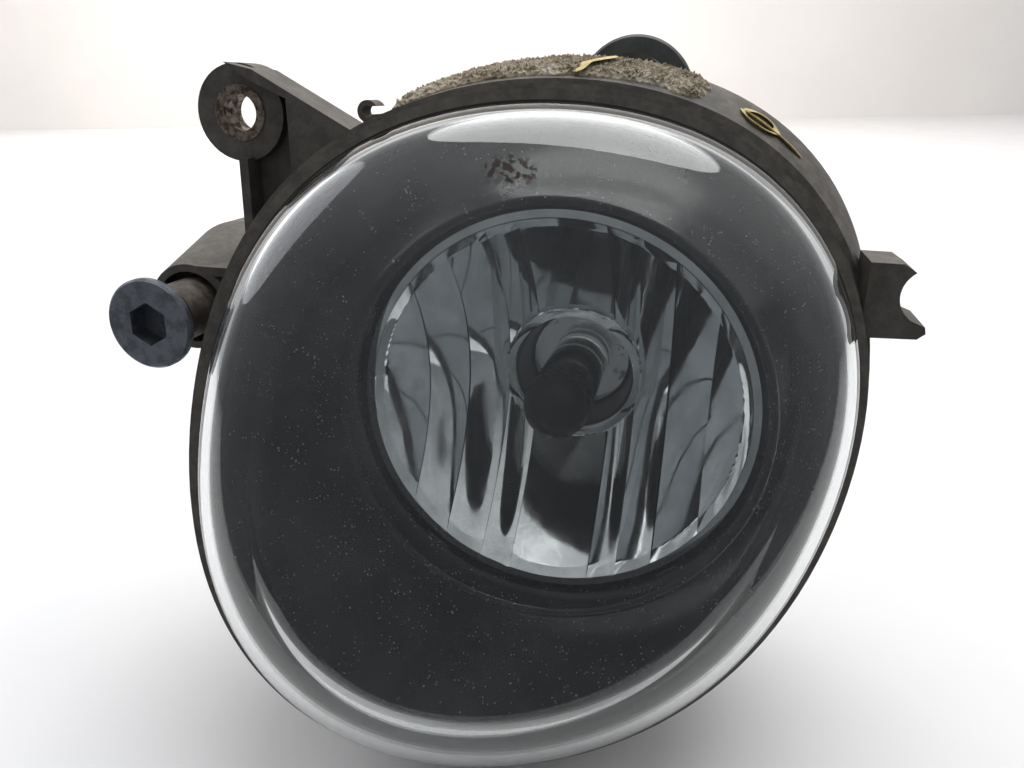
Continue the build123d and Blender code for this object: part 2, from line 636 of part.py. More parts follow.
def housing_shell():
    outer = drum(0.0, 0.0) + tower(0.0) + ear_and_webs() + side_fork()
    flat_z = (SCREW_Z + HOOD_FLAT[0], SCREW_Z + HOOD_FLAT[1])
    outer += block((SCREW_X, HOOD_FLAT_END_X), (HOOD_FRONT_Y, TOWER_FULL_Y), flat_z)
    outer += rod_y(VENT_X, VENT_Z, FOAM_BACK_Y, VENT_SPIGOT_END_Y, VENT_SPIGOT_RADIUS)
    inner = drum(-WALL, -WALL)
    shell = outer - inner - tower(-WALL)
    window_y = (WALL_BACK_Y, PIVOT_Y + SOCKET_HALF_LENGTH + 2 * AIM_TRAVEL)
    shell -= block(WINDOW_X, window_y, (SCREW_Z - WINDOW_HALF_HEIGHT, SCREW_Z + WINDOW_HALF_HEIGHT))
    hood_inside = [
        (0, HOOD_FRONT_Y - 1),
        (HOOD_FRONT_RADIUS - HOOD_WALL, HOOD_FRONT_Y - 1),
        (HOOD_FRONT_RADIUS - HOOD_WALL + 1, TOWER_WALL_Y),
        (0, TOWER_WALL_Y),
    ]
    shell -= turned(hood_inside, SCREW_X, SCREW_Z)
    shell -= rod_y(SCREW_X, SCREW_Z, TOWER_WALL_Y - 1, WALL_BACK_Y + 1, SLEEVE_RADIUS)
    shell -= rod_y(EAR_X, EAR_Z, EAR_FRONT_Y - 1, EAR_FRONT_Y + EAR_THICKNESS + 1, EAR_SLEEVE_RADIUS)
    shell -= rod_y(0, 0, PIVOT_Y + 20, REAR_COLLAR_END_Y, REAR_BORE)
    rear_wall_y = REAR_Y - WALL
    collar = rod_y(0, 0, rear_wall_y, REAR_COLLAR_END_Y, REAR_BORE + COLLAR_WALL)
    shell += collar - rod_y(0, 0, rear_wall_y, REAR_COLLAR_END_Y, REAR_BORE)
    shell -= rod_y(VENT_X, VENT_Z, PIVOT_Y + 16, VENT_SPIGOT_END_Y - MEMBRANE_THICKNESS, VENT_BORE)
    shell -= rod_y(VENT_X, VENT_Z, VENT_SPIGOT_END_Y - 2, VENT_SPIGOT_END_Y + 1, VENT_BORE + 1)
    for start in (POST_INNER, -POST_INNER - POST_WIDTH):
        run = (PIVOT_Y - POST_HALF_LENGTH, PIVOT_Y + POST_HALF_LENGTH)
        post = block((start, start + POST_WIDTH), run, (-80, PIVOT_Z + POST_HALF_LENGTH)) & drum(-WALL / 2, -WALL / 2)
        shell += post - rod_x(PIVOT_Y, PIVOT_Z, start - 1, start + POST_WIDTH + 1, PIN_RADIUS + BUSH_WALL)
    floor_front = -LENS_SKIRT - SEAL_BED
    inner_edge = -LENS_WALL - INNER_WALL_GAP
    groove_out = SEAL_THICKNESS + GROOVE_WALL
    shell += rim_ring(FLANGE_GROW, inner_edge - INNER_WALL, -FLANGE_DEPTH, floor_front)
    shell += rim_ring(inner_edge, inner_edge - INNER_WALL, floor_front, INNER_WALL_FRONT)
    shell += rim_ring(FLANGE_GROW, SEAL_THICKNESS, floor_front, -FLANGE_STEP)
    shell += rim_ring(groove_out, SEAL_THICKNESS, -FLANGE_STEP, -GROOVE_LIP)
    return shell + curled_hook()


def ear_sleeve():
    """The steel sleeve that takes the bolt's clamping load."""
    front = EAR_FRONT_Y - EAR_SLEEVE_PROUD
    back = EAR_FRONT_Y + EAR_THICKNESS + EAR_SLEEVE_PROUD
    return rod_y(EAR_X, EAR_Z, front, back, EAR_SLEEVE_RADIUS) - rod_y(EAR_X, EAR_Z, front, back, EAR_BORE)


def foam_strip():
    skin = drum(FOAM_THICKNESS, 0.0) - drum(0.0, 0.0)
    return skin & block((FOAM_LEFT, FOAM_RIGHT), (FOAM_FRONT_Y, FOAM_BACK_Y), (30, 80))


# ---- breather ----
def breather_cap():
    """A cup that pushes over the spigot, slotted at its front edge."""
    bore = VENT_SPIGOT_RADIUS + RUNNING
    top_y = VENT_SPIGOT_END_Y + MOVING
    profile = [
        (0, VENT_CAP_END_Y),
        (VENT_CAP_RADIUS - 1, VENT_CAP_END_Y),
        (VENT_CAP_RADIUS, VENT_CAP_END_Y - 1),
        (VENT_CAP_RADIUS, VENT_CAP_FRONT_Y + 0.5),
        (VENT_CAP_RADIUS - 0.5, VENT_CAP_FRONT_Y),
        (bore, VENT_CAP_FRONT_Y),
        (bore, top_y),
        (0, top_y),
    ]
    cap = turned(profile, VENT_X, VENT_Z)
    slot = (-VENT_SLOT_WIDTH / 2, VENT_SLOT_WIDTH / 2)
    span = (-VENT_CAP_RADIUS - 1, VENT_CAP_RADIUS + 1)
    run = (VENT_CAP_FRONT_Y + 2.5, top_y)
    for x_range, z_range in ((slot, (span[0], 0)), ((span[0], span[1]), slot)):
        cut = Pos(VENT_X, 0, VENT_Z) * block(x_range, run, z_range)
        cap -= cut - rod_y(VENT_X, VENT_Z, run[0], run[1], bore + 2.2)
    return cap


def breather_membrane():
    front = VENT_SPIGOT_END_Y - 2
    return rod_y(VENT_X, VENT_Z, front, front + MEMBRANE_THICKNESS, VENT_BORE + 1)


# ---- bulb holder and bulb ----
def holder_tabs():
    """The inward tabs that the bulb's lugs lock behind, with a notch for each lug."""
    ring = rod_y(0, 0, TAB_Y, TAB_Y + TAB_THICKNESS, HOLDER_BORE + 0.5)
    ring -= rod_y(0, 0, TAB_Y, TAB_Y + TAB_THICKNESS, BASE_RADIUS + MOVING)
    for number in range(LUG_COUNT):
        angle = 90 + 360 * number / LUG_COUNT - TWIST_ANGLE
        ring -= wedge(HOLDER_RADIUS, angle, NOTCH_HALF_ANGLE, TAB_Y, TAB_Y + TAB_THICKNESS)
    return ring


def bulb_holder():
    """The holder on the reflector's neck: a dark cone inside, a flange and a bayonet tube."""
    flange_end = NECK_END_Y + HOLDER_FLANGE_THICKNESS
    profile = [
        (HOLDER_MOUTH_RADIUS, bowl_y(NECK_BORE) + 0.4),
        (NECK_BORE - RUNNING, bowl_y(NECK_BORE) + 0.4),
        (NECK_BORE - RUNNING, NECK_END_Y),
        (NECK_FLANGE_RADIUS, NECK_END_Y),
        (NECK_FLANGE_RADIUS, flange_end),
        (HOLDER_RADIUS, flange_end),
        (HOLDER_RADIUS, HOLDER_END_Y),
        (HOLDER_BORE, HOLDER_END_Y),
        (HOLDER_BORE, POCKET_Y),
        (HOLDER_THROAT_RADIUS, POCKET_Y),
        (HOLDER_THROAT_RADIUS, HOLDER_THROAT_Y),
    ]
    body = turned(profile)
    for x, z in screw_spots(HOLDER_SCREW_COUNT, HOLDER_SCREW_CIRCLE):
        ear = rod_y(x, z, NECK_END_Y, flange_end, HOLDER_EAR_RADIUS)
        body += ear - rod_y(0, 0, NECK_END_Y, flange_end, HOLDER_RADIUS)
    for x, z in screw_spots(HOLDER_SCREW_COUNT, HOLDER_SCREW_CIRCLE):
        body -= rod_y(x, z, NECK_END_Y, flange_end, HOLDER_SCREW_RADIUS)
    return body + holder_tabs()


def holder_screws():
    """Three cross-recessed screws through the holder's ears."""
    head_y = NECK_END_Y + HOLDER_FLANGE_THICKNESS
    tip_y = NECK_END_Y - NECK_FLANGE_THICKNESS - 2
    screws = []
    for x, z in screw_spots(HOLDER_SCREW_COUNT, HOLDER_SCREW_CIRCLE):
        shank = rod_y(x, z, tip_y, head_y, HOLDER_SCREW_RADIUS)
        head = rod_y(x, z, head_y, head_y + 1.8, HOLDER_SCREW_HEAD)
        recess = block((x - 0.4, x + 0.4), (head_y + 0.8, head_y + 3), (z - 1.6, z + 1.6))
        cross = block((x - 1.6, x + 1.6), (head_y + 0.8, head_y + 3), (z - 0.4, z + 0.4))
        screws.append((shank + head - recess - cross).solid())
    return Compound(screws)


def bulb_glass():
    """A round-ended glass tube, closed at the pinch."""
    inner = GLASS_RADIUS - GLASS_WALL
    outer = rod_y(0, 0, TIP_CENTRE_Y, GLASS_END_Y, GLASS_RADIUS)
    outer += Pos(0, TIP_CENTRE_Y, 0) * Sphere(GLASS_RADIUS)
    hollow = rod_y(0, 0, TIP_CENTRE_Y, GLASS_PINCH_Y, inner)
    return outer - hollow - Pos(0, TIP_CENTRE_Y, 0) * Sphere(inner)


def bulb_black_tip():
    """The opaque coat over the glass's round end."""
    coat = GLASS_RADIUS + TIP_COAT
    shell = Pos(0, TIP_CENTRE_Y, 0) * Sphere(coat)
    shell += rod_y(0, 0, TIP_CENTRE_Y, TIP_CENTRE_Y + TIP_COAT_SKIRT, coat)
    shell -= Pos(0, TIP_CENTRE_Y, 0) * Sphere(GLASS_RADIUS)
    shell -= rod_y(0, 0, TIP_CENTRE_Y, TIP_CENTRE_Y + 2 * coat, GLASS_RADIUS)
    return shell


def bulb_filament():
    """The coil on the lamp axis, drawn as its outer tube."""
    half = FILAMENT_LENGTH / 2
    return rod_y(0, 0, -half, half, FILAMENT_RADIUS) - rod_y(0, 0, -half, half, FILAMENT_RADIUS / 2)


def bulb_lead_wires():
    """One wire to each end of the filament, bent from the pinch."""
    half = FILAMENT_LENGTH / 2
    wires = []
    for side, end_y in ((1, -half - WIRE_RADIUS), (-1, half + WIRE_RADIUS)):
        run = rod_y(side * WIRE_SPREAD, 0, end_y - WIRE_RADIUS, GLASS_PINCH_Y, WIRE_RADIUS)
        start, end = sorted((0.0, side * WIRE_SPREAD))
        wires.append((run + rod_x(end_y, 0, start, end, WIRE_RADIUS)).solid())
    return Compound(wires)


def bulb_collar():
    """The bright metal cup around the glass."""
    bore = GLASS_RADIUS + RUNNING
    seat_y = COLLAR_Y + COLLAR_THICKNESS
    profile = [
        (bore, COLLAR_Y),
        (COLLAR_RADIUS - 1, COLLAR_Y),
        (COLLAR_RADIUS - 1, COLLAR_Y - 0.8),
        (COLLAR_RADIUS, COLLAR_Y - 0.8),
        (COLLAR_RADIUS, seat_y),
        (COLLAR_TUBE_RADIUS, seat_y),
        (COLLAR_TUBE_RADIUS, COLLAR_END_Y),
        (bore, COLLAR_END_Y),
    ]
    return turned(profile)


def bulb_base():
    """The moulded base: bayonet lugs, a ring groove, a flange and the connector socket below."""
    seat_y = COLLAR_Y + COLLAR_THICKNESS
    flange_y = HOLDER_END_Y + MOVING
    groove = HOLDER_BORE - RUNNING - RING_THICKNESS
    groove_front = RING_GROOVE_Y - RING_THICKNESS / 2
    groove_back = RING_GROOVE_Y + RING_THICKNESS / 2
    profile = [
        (COLLAR_TUBE_RADIUS, seat_y),
        (BASE_RADIUS, seat_y),
        (BASE_RADIUS, PLUG_Y),
        (PLUG_RADIUS, PLUG_Y),
        (PLUG_RADIUS, groove_front),
        (groove, groove_front),
        (groove, groove_back),
        (PLUG_RADIUS, groove_back),
        (PLUG_RADIUS, flange_y),
        (BASE_FLANGE_RADIUS, flange_y),
        (BASE_FLANGE_RADIUS, flange_y + BASE_FLANGE_THICKNESS),
        (BASE_NECK_RADIUS, flange_y + BASE_FLANGE_THICKNESS),
        (BASE_NECK_RADIUS, SOCKET_BLOCK_Y + 1),
        (0, SOCKET_BLOCK_Y + 1),
        (0, COLLAR_END_Y),
        (COLLAR_TUBE_RADIUS, COLLAR_END_Y),
    ]
    body = turned(profile)
    lug_y = (POCKET_Y + MOVING, TAB_Y - MOVING)
    for number in range(LUG_COUNT):
        pie = wedge(LUG_RADIUS * 2, 90 + 360 * number / LUG_COUNT, LUG_HALF_ANGLE, *lug_y)
        rim = rod_y(0, 0, lug_y[0], lug_y[1], LUG_RADIUS) - rod_y(0, 0, lug_y[0], lug_y[1], BASE_RADIUS - 0.5)
        body += pie & rim
    block_y = (SOCKET_BLOCK_Y, SOCKET_BLOCK_Y + SOCKET_BLOCK_LENGTH)
    half = SOCKET_BLOCK_HALF
    shroud = block((-half, half), block_y, (SOCKET_BLOCK_BOTTOM, 0))
    shroud += rod_y(0, 0, block_y[0], block_y[1], half)
    cavity_x = (-half + SOCKET_WALL, half - SOCKET_WALL)
    cavity_y = (block_y[0] + SOCKET_WALL, block_y[1] - SOCKET_WALL)
    shroud -= block(cavity_x, cavity_y, (SOCKET_BLOCK_BOTTOM - 1, SOCKET_FLOOR_Z))
    latch = prism_y([(-2.5, -15), (2.5, -15), (2.5, -19), (-2.5, -19)], block_y[1], block_y[1] + 1.6)
    grip_y = (block_y[0] + 3, block_y[1] - 3)
    grips = [block((side * half - 0.8, side * half + 0.8), grip_y, (-9, 6)) for side in (-1, 1)]
    return body + shroud + latch + grips[0] + grips[1]


def blade_range(side):
    """X range of one terminal blade."""
    return (side * BLADE_SPREAD - BLADE_WIDTH / 2, side * BLADE_SPREAD + BLADE_WIDTH / 2)


def bulb_terminals():
    """Two flat blades standing in the connector socket."""
    middle = SOCKET_BLOCK_Y + SOCKET_BLOCK_LENGTH / 2
    blade_y = (middle - BLADE_THICKNESS / 2, middle + BLADE_THICKNESS / 2)
    blade_z = (SOCKET_FLOOR_Z - BLADE_LENGTH, SOCKET_FLOOR_Z)
    blades = [block(blade_range(side), blade_y, blade_z) for side in (-1, 1)]
    return Compound([blade.solid() for blade in blades])


def bulb_seal_ring():
    radius = HOLDER_BORE - RUNNING - RING_THICKNESS / 2
    base = Plane(origin=(0, RING_GROOVE_Y, 0), z_dir=(0, 1, 0))
    return Solid.make_torus(radius, RING_THICKNESS / 2, base)


# ---- rear boot ----
def rear_boot():
    """A rubber boot: a leg each side of the housing's collar, a fold, and a lip on the bulb holder."""
    collar_in = REAR_BORE
    collar_out = REAR_BORE + COLLAR_WALL
    end_y = REAR_COLLAR_END_Y
    lip_in = HOLDER_RADIUS
    lip_out = lip_in + BOOT_THICKNESS
    lip_front = HOLDER_END_Y - BOOT_LIP_LENGTH
    profile = [
        (collar_out, end_y - BOOT_LEG),
        (collar_out + BOOT_THICKNESS, end_y - BOOT_LEG),
        (collar_out + BOOT_THICKNESS, end_y + BOOT_THICKNESS),
        (collar_in - BOOT_THICKNESS, end_y + BOOT_THICKNESS),
        (collar_in - BOOT_THICKNESS, end_y - 3.2),
        (lip_out + 2.2, HOLDER_END_Y + 0.6),
        (lip_in, HOLDER_END_Y),
        (lip_in, lip_front),
        (lip_out, lip_front),
        (lip_out, HOLDER_END_Y - BOOT_THICKNESS),
        (lip_out + 2.6, HOLDER_END_Y - BOOT_THICKNESS + 0.6),
        (collar_in, end_y - BOOT_LEG),
        (collar_in, end_y),
        (collar_out, end_y),
    ]
    return turned(profile)


def boot_clamp():
    """The steel band around the boot's outer leg, with a crimped ear."""
    inner = REAR_BORE + COLLAR_WALL + BOOT_THICKNESS
    outer = inner + CLAMP_THICKNESS
    middle = REAR_COLLAR_END_Y - BOOT_LEG / 2
    run = (middle - CLAMP_WIDTH / 2, middle + CLAMP_WIDTH / 2)
    band = rod_y(0, 0, run[0], run[1], outer)
    ear = block((-2.2, 2.2), run, (inner, outer + 2.6)) - block((-1.3, 1.3), run, (inner, outer + 1.7))
    return band + ear - rod_y(0, 0, run[0], run[1], inner)


PIECES = (
    housing_shell,
    front_lens,
    lens_seal,
    bezel,
    ear_sleeve,
    foam_strip,
    screw_guide_sleeve,
    screw_seal_ring,
    aim_screw,
    screw_clip,
    aim_nut,
    aim_ball_stud,
    reflector,
    pivot_pins,
    pivot_bushes,
    bulb_holder,
    holder_screws,
    bulb_glass,
    bulb_black_tip,
    bulb_filament,
    bulb_lead_wires,
    bulb_collar,
    bulb_base,
    bulb_terminals,
    bulb_seal_ring,
    rear_boot,
    boot_clamp,
    breather_cap,
    breather_membrane,
)

os.makedirs("parts", exist_ok=True)
for piece in PIECES:
    write(piece.__name__, piece())
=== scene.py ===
import math

import bmesh
import bpy
import numpy as np
from mathutils import Matrix, Vector


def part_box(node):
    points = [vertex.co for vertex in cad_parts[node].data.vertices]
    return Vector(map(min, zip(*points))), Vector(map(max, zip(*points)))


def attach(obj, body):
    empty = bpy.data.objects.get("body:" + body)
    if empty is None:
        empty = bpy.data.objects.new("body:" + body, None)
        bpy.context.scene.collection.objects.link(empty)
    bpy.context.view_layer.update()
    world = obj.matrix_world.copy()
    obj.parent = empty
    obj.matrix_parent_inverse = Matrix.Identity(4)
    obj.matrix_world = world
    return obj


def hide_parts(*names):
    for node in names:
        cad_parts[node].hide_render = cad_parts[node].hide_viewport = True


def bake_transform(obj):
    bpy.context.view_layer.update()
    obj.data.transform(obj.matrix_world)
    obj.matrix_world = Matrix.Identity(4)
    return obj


bl_info = {
    "name": "Fog Lamp Finishes",
    "version": (1, 0, 0),
    "blender": (4, 5, 0),
    "location": "View3D > Sidebar > Fog Lamp",
    "description": "Builds the visible surfaces and finishes of a front fog lamp on its fixed frame",
    "category": "Object",
}

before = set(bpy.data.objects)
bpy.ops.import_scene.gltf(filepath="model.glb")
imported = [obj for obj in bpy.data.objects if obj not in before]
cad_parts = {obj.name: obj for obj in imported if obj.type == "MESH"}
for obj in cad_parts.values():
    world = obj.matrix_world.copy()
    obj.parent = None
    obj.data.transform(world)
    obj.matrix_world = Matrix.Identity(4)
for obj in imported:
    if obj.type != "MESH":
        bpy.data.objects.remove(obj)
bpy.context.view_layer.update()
MM = 0.001


# ---- places and sizes that follow the frame, in millimetres about the bulb's filament ----
def node_centre(node):
    """Middle of a frame node's box, in metres."""
    low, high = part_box(node)
    return (low + high) / 2


FOCUS = np.array(node_centre("bulb_filament"))
LENS_RADIUS = 59.1
LENS_SWELLS = ((2, 0.054, 54.0), (3, 0.0157, 12.5), (4, 0.0152, 41.6))
LENS_CENTRE = (-5.2, -4.5)
LENS_Y = -21.0
LENS_SWEEP = 12.0
LENS_RAKE = 12.0
LENS_WALL = 2.6
SHOULDER_WIDTH = 13.0
SHOULDER_HEIGHT = 14.6
LENS_SKIRT = 6.0
SHOULDER_STOP = 62.0  # the shoulder's arc stops short of square, which leaves a soft crease round the face
LIP_RADIUS = 37.3
LIP_Y = -20.5
LIP_TILT = 0.27
FOCAL_LENGTH = 11.2
RIM_Y = -16.0
BULB_HOLE = 12.4
FLANGE_DEPTH = 9.0
FLANGE_GROW = 4.2
DRUM_DEPTH = 38.0
DRUM_GROW = 3.2
DRUM_RISE = 3.2
BEZEL_EDGE_GAP = 0.6  # inside the lens wall
BEZEL_EDGE_HEIGHT = -2.6  # about the rim's plane
BEZEL_SAG = 2.2
BEZEL_WALL = 1.2
BEZEL_FOOT = 2.4
LIP_BEAD = 0.9
GLASS_RADIUS = 6.0
GLASS_WALL = 1.0
GLASS_END = 19.0
TIP_Y = -13.0  # centre of the bulb's round end
COIL_RADIUS = 0.62
COIL_LENGTH = 4.4
COIL_WIRE = 0.22
CONE_FRONT = 4.6  # where the cone round the bulb's hole meets the hole
CONE_SLOPE = 0.85
RIM_FADE = 1.5  # the facets die out over this width at the rim
FOAM_ANGLES = (66.0, 116.0)
FOAM_HEIGHT = 1.35
FOAM_WALL = 0.5
STROKE_THICKNESS = 0.35


def to_frame(points):
    """Millimetres about the filament to metres in the row's frame."""
    return np.asarray(points) * MM + FOCUS


def plane_axes(tilt):
    """Across, up and outward unit vectors of a plane that takes a share of the lens's sweep and rake."""
    sweep = np.radians(LENS_SWEEP) * np.asarray(tilt, float)
    rake = np.radians(LENS_RAKE) * np.asarray(tilt, float)
    zero = np.zeros_like(sweep)
    across = np.stack([np.cos(sweep), np.sin(sweep), zero], -1)
    up = np.stack([-np.sin(rake) * np.sin(sweep), np.sin(rake) * np.cos(sweep), np.cos(rake)], -1)
    out = np.stack([np.sin(sweep) * np.cos(rake), -np.cos(sweep) * np.cos(rake), np.sin(rake)], -1)
    return across, up, out


def outline_radius(angle):
    """Lens radius at an angle: a circle with two-, three- and four-way swells."""
    swell = sum(share * np.cos(waves * (angle - math.radians(phase))) for waves, share, phase in LENS_SWELLS)
    return LENS_RADIUS * (1 + swell)


def lens_points(angle, radius, forward):
    """Point of the rim's plane at a polar angle and radius about the lens centre, moved forward."""
    across, up, out = plane_axes(1.0)
    u = LENS_CENTRE[0] + radius * np.cos(angle)
    v = LENS_CENTRE[1] + radius * np.sin(angle)
    origin = np.array([0.0, LENS_Y, 0.0])
    return origin + u[..., None] * across + v[..., None] * up + np.asarray(forward)[..., None] * out


def drum_points(angle, share, proud):
    """Point of the drum: share 0 is at the flange and 1 where it is square; proud is the height above the skin."""
    across, up, _ = plane_axes(1 - share)
    start = FLANGE_DEPTH / math.cos(math.radians(LENS_SWEEP)) / math.cos(math.radians(LENS_RAKE))
    y = LENS_Y + start + (DRUM_DEPTH - start) * share
    radius = outline_radius(angle) + FLANGE_GROW + (DRUM_GROW - FLANGE_GROW) * share + proud
    u = LENS_CENTRE[0] + radius * np.cos(angle)
    v = LENS_CENTRE[1] + DRUM_RISE * share + radius * np.sin(angle)
    origin = np.stack([np.zeros_like(y), y, np.zeros_like(y)], -1)
    return origin + u[..., None] * across + v[..., None] * up


def wander(u, v, reach, seed, count=18):
    """Smooth random height between about -1 and 1.

    It is a sum of sine waves in random directions, of up to reach waves.
    """
    rng = np.random.default_rng(seed)
    total = np.zeros(np.broadcast(u, v).shape)
    for _ in range(count):
        heading, phase = rng.uniform(0, 2 * math.pi, 2)
        waves = reach * rng.uniform(0.25, 1.0)
        total += np.sin(2 * math.pi * waves * (u * math.cos(heading) + v * math.sin(heading)) + phase)
    return total / math.sqrt(count)


# ---- meshes from grids ----
def grid_faces(rows, columns, wrap_rows, wrap_columns):
    """Corner numbers of the quads between neighbouring grid points."""
    r, c = np.meshgrid(
        np.arange(rows if wrap_rows else rows - 1),
        np.arange(columns if wrap_columns else columns - 1),
        indexing="ij",
    )
    r2, c2 = (r + 1) % rows, (c + 1) % columns
    corners = [r * columns + c, r2 * columns + c, r2 * columns + c2, r * columns + c2]
    return np.stack(corners, -1).reshape(-1, 4)


def signed_volume(points, faces):
    """Volume enclosed by the quads: positive when they face outwards."""
    p = points[faces] - points.mean(0)
    first = np.einsum("ij,ij->i", p[:, 0], np.cross(p[:, 1], p[:, 2]))
    second = np.einsum("ij,ij->i", p[:, 0], np.cross(p[:, 2], p[:, 3]))
    return (first.sum() + second.sum()) / 6


def surface(name, grids, sharp_degrees=40.0):
    """One object from several grids, each (points in mm, wrap rows, wrap columns, facing).
    Facing is "out" or "in" for a closed grid, or a direction that an open one looks along."""
    all_points, all_faces, start = [], [], 0
    for points, wrap_rows, wrap_columns, facing in grids:
        flat = to_frame(points).reshape(-1, 3)
        faces = grid_faces(points.shape[0], points.shape[1], wrap_rows, wrap_columns)
        if isinstance(facing, str):
            turned = (signed_volume(flat, faces) < 0) == (facing == "out")
        else:
            p = flat[faces]
            normal = np.cross(p[:, 2] - p[:, 0], p[:, 3] - p[:, 1]).sum(0)
            turned = float(normal @ np.array(facing)) < 0
        all_faces.append((faces[:, ::-1] if turned else faces) + start)
        all_points.append(flat)
        start += len(flat)
    points, faces = np.concatenate(all_points), np.concatenate(all_faces)
    mesh = bpy.data.meshes.new(name)
    mesh.vertices.add(len(points))
    mesh.vertices.foreach_set("co", points.astype(np.float32).ravel())
    mesh.loops.add(faces.size)
    mesh.loops.foreach_set("vertex_index", faces.astype(np.int32).ravel())
    mesh.polygons.add(len(faces))
    mesh.polygons.foreach_set("loop_start", np.arange(0, faces.size, 4, dtype=np.int32))
    mesh.update(calc_edges=True)
    work = bmesh.new()
    work.from_mesh(mesh)
    bmesh.ops.remove_doubles(work, verts=work.verts, dist=2e-6)
    bmesh.ops.dissolve_degenerate(work, dist=1e-7, edges=work.edges)
    work.to_mesh(mesh)
    work.free()
    mesh.polygons.foreach_set("use_smooth", np.ones(len(mesh.polygons), bool))
    mesh.set_sharp_from_angle(angle=math.radians(sharp_degrees))
    mesh.validate()
    made = bpy.data.objects.new(name, mesh)
    bpy.context.scene.collection.objects.link(made)
    return made


def turned_grid(profile, steps=128):
    """A (radius, y) profile in mm carried round the lamp's axis."""
    profile = np.asarray(profile, float)
    angle = np.linspace(0, 2 * math.pi, steps, endpoint=False)
    radius, y = profile[:, :1], profile[:, 1:]
    return np.stack([radius * np.cos(angle), y + 0 * angle, radius * np.sin(angle)], -1)


def arc(centre, radius, start, end, count):
    """(radius, y) points of an arc, with its angles in degrees from the radius towards y."""
    angle = np.radians(np.linspace(start, end, count))
    return np.stack([centre[0] + radius * np.cos(angle), centre[1] + radius * np.sin(angle)], -1)


def ribbon_grid(path, normal, widths, thickness, sides=10):
    """A flattened round section carried along a path: widths across, thickness along the surface's normal."""
    run = np.gradient(path, axis=0)
    run /= np.linalg.norm(run, axis=1, keepdims=True)
    side = np.cross(run, normal)
    side /= np.linalg.norm(side, axis=1, keepdims=True)
    angle = np.linspace(0, 2 * math.pi, sides, endpoint=False)
    across = (widths[:, None] / 2 * np.cos(angle))[..., None] * side[:, None]
    height = (np.minimum(thickness, widths[:, None]) / 2 * np.sin(angle))[..., None] * normal[:, None]
    return path[:, None] + across + height


# ---- materials ----
def linear(hex_colour):
    """An sRGB hex colour as linear red, green, blue and alpha."""
    values = [int(hex_colour[i : i + 2], 16) / 255 for i in (1, 3, 5)]
    return [v / 12.92 if v <= 0.04045 else ((v + 0.055) / 1.055) ** 2.4 for v in values] + [1.0]


def per_metre(size):
    """Texture scale for a pattern whose repeat is a size in millimetres."""
    return 1 / (size * MM)


def add(tree, kind, settings=None, inputs=None, links=None, stops=None):
    """Adds a node with its settings, socket values and incoming links; stops are a colour ramp's (place, hex)."""
    node = tree.nodes.new(kind)
    for key, value in (settings or {}).items():
        setattr(node, key, value)
    for key, value in (inputs or {}).items():
        node.inputs[key].default_value = value
    for key, source in (links or {}).items():
        tree.links.new(source, node.inputs[key])
    if stops:
        elements = node.color_ramp.elements
        while len(elements) < len(stops):
            elements.new(0.5)
        for element, (place, colour) in zip(elements, stops):
            element.position = place
            element.color = linear(colour)
    return node


def finish_base(name):
    """A material with a principled shader, and its object coordinates."""
    material = bpy.data.materials.new(name)
    material.use_nodes = True
    tree = material.node_tree
    tree.nodes.clear()
    coords = add(tree, "ShaderNodeTexCoord")
    shader = add(tree, "ShaderNodeBsdfPrincipled")
    add(tree, "ShaderNodeOutputMaterial", links={"Surface": shader.outputs["BSDF"]})
    return material, tree, coords.outputs["Object"], shader


def moulded_plastic(name, base, worn, dust, dust_share, grain, roughness):
    """Injection-moulded plastic: a fine sparked grain, uneven wear and dust that lies on upward faces."""
    material, tree, place, shader = finish_base(name)
    patches = add(
        tree, "ShaderNodeTexNoise", inputs={"Scale": per_metre(14), "Detail": 5.0, "Roughness": 0.62},
        links={"Vector": place},
    )
    body = add(
        tree, "ShaderNodeValToRGB", links={"Fac": patches.outputs["Fac"]}, stops=[(0.36, base), (0.66, worn)],
    )
    powder = add(
        tree, "ShaderNodeTexNoise", inputs={"Scale": per_metre(3.2), "Detail": 8.0, "Roughness": 0.72},
        links={"Vector": place},
    )
    geometry = add(tree, "ShaderNodeNewGeometry")
    facing = add(tree, "ShaderNodeSeparateXYZ", links={"Vector": geometry.outputs["Normal"]})
    upward = add(
        tree, "ShaderNodeMapRange", inputs={"From Min": -0.3, "From Max": 1.0, "To Min": 0.25, "To Max": 1.0},
        links={"Value": facing.outputs["Z"]},
    )
    thick = add(
        tree, "ShaderNodeMapRange", inputs={"From Min": 0.42, "From Max": 0.68, "To Max": dust_share},
        links={"Value": powder.outputs["Fac"]},
    )
    amount = add(
        tree, "ShaderNodeMath", settings={"operation": "MULTIPLY"},
        links={0: upward.outputs["Result"], 1: thick.outputs["Result"]},
    )
    colour = add(
        tree, "ShaderNodeMix", settings={"data_type": "RGBA"}, inputs={7: linear(dust)},
        links={0: amount.outputs["Value"], 6: body.outputs["Color"]},
    )
    tree.links.new(colour.outputs[2], shader.inputs["Base Color"])
    rough = add(
        tree, "ShaderNodeMapRange",
        inputs={"From Max": 1.0, "To Min": roughness, "To Max": min(1.0, roughness + 0.35)},
        links={"Value": amount.outputs["Value"]},
    )
    tree.links.new(rough.outputs["Result"], shader.inputs["Roughness"])
    spark = add(
        tree, "ShaderNodeTexNoise", inputs={"Scale": per_metre(grain), "Detail": 3.0}, links={"Vector": place},
    )
    bump = add(
        tree, "ShaderNodeBump", inputs={"Strength": 0.35, "Distance": 0.06 * MM},
        links={"Height": spark.outputs["Fac"]},
    )
    tree.links.new(bump.outputs["Normal"], shader.inputs["Normal"])
    shader.inputs["IOR"].default_value = 1.5
    return material


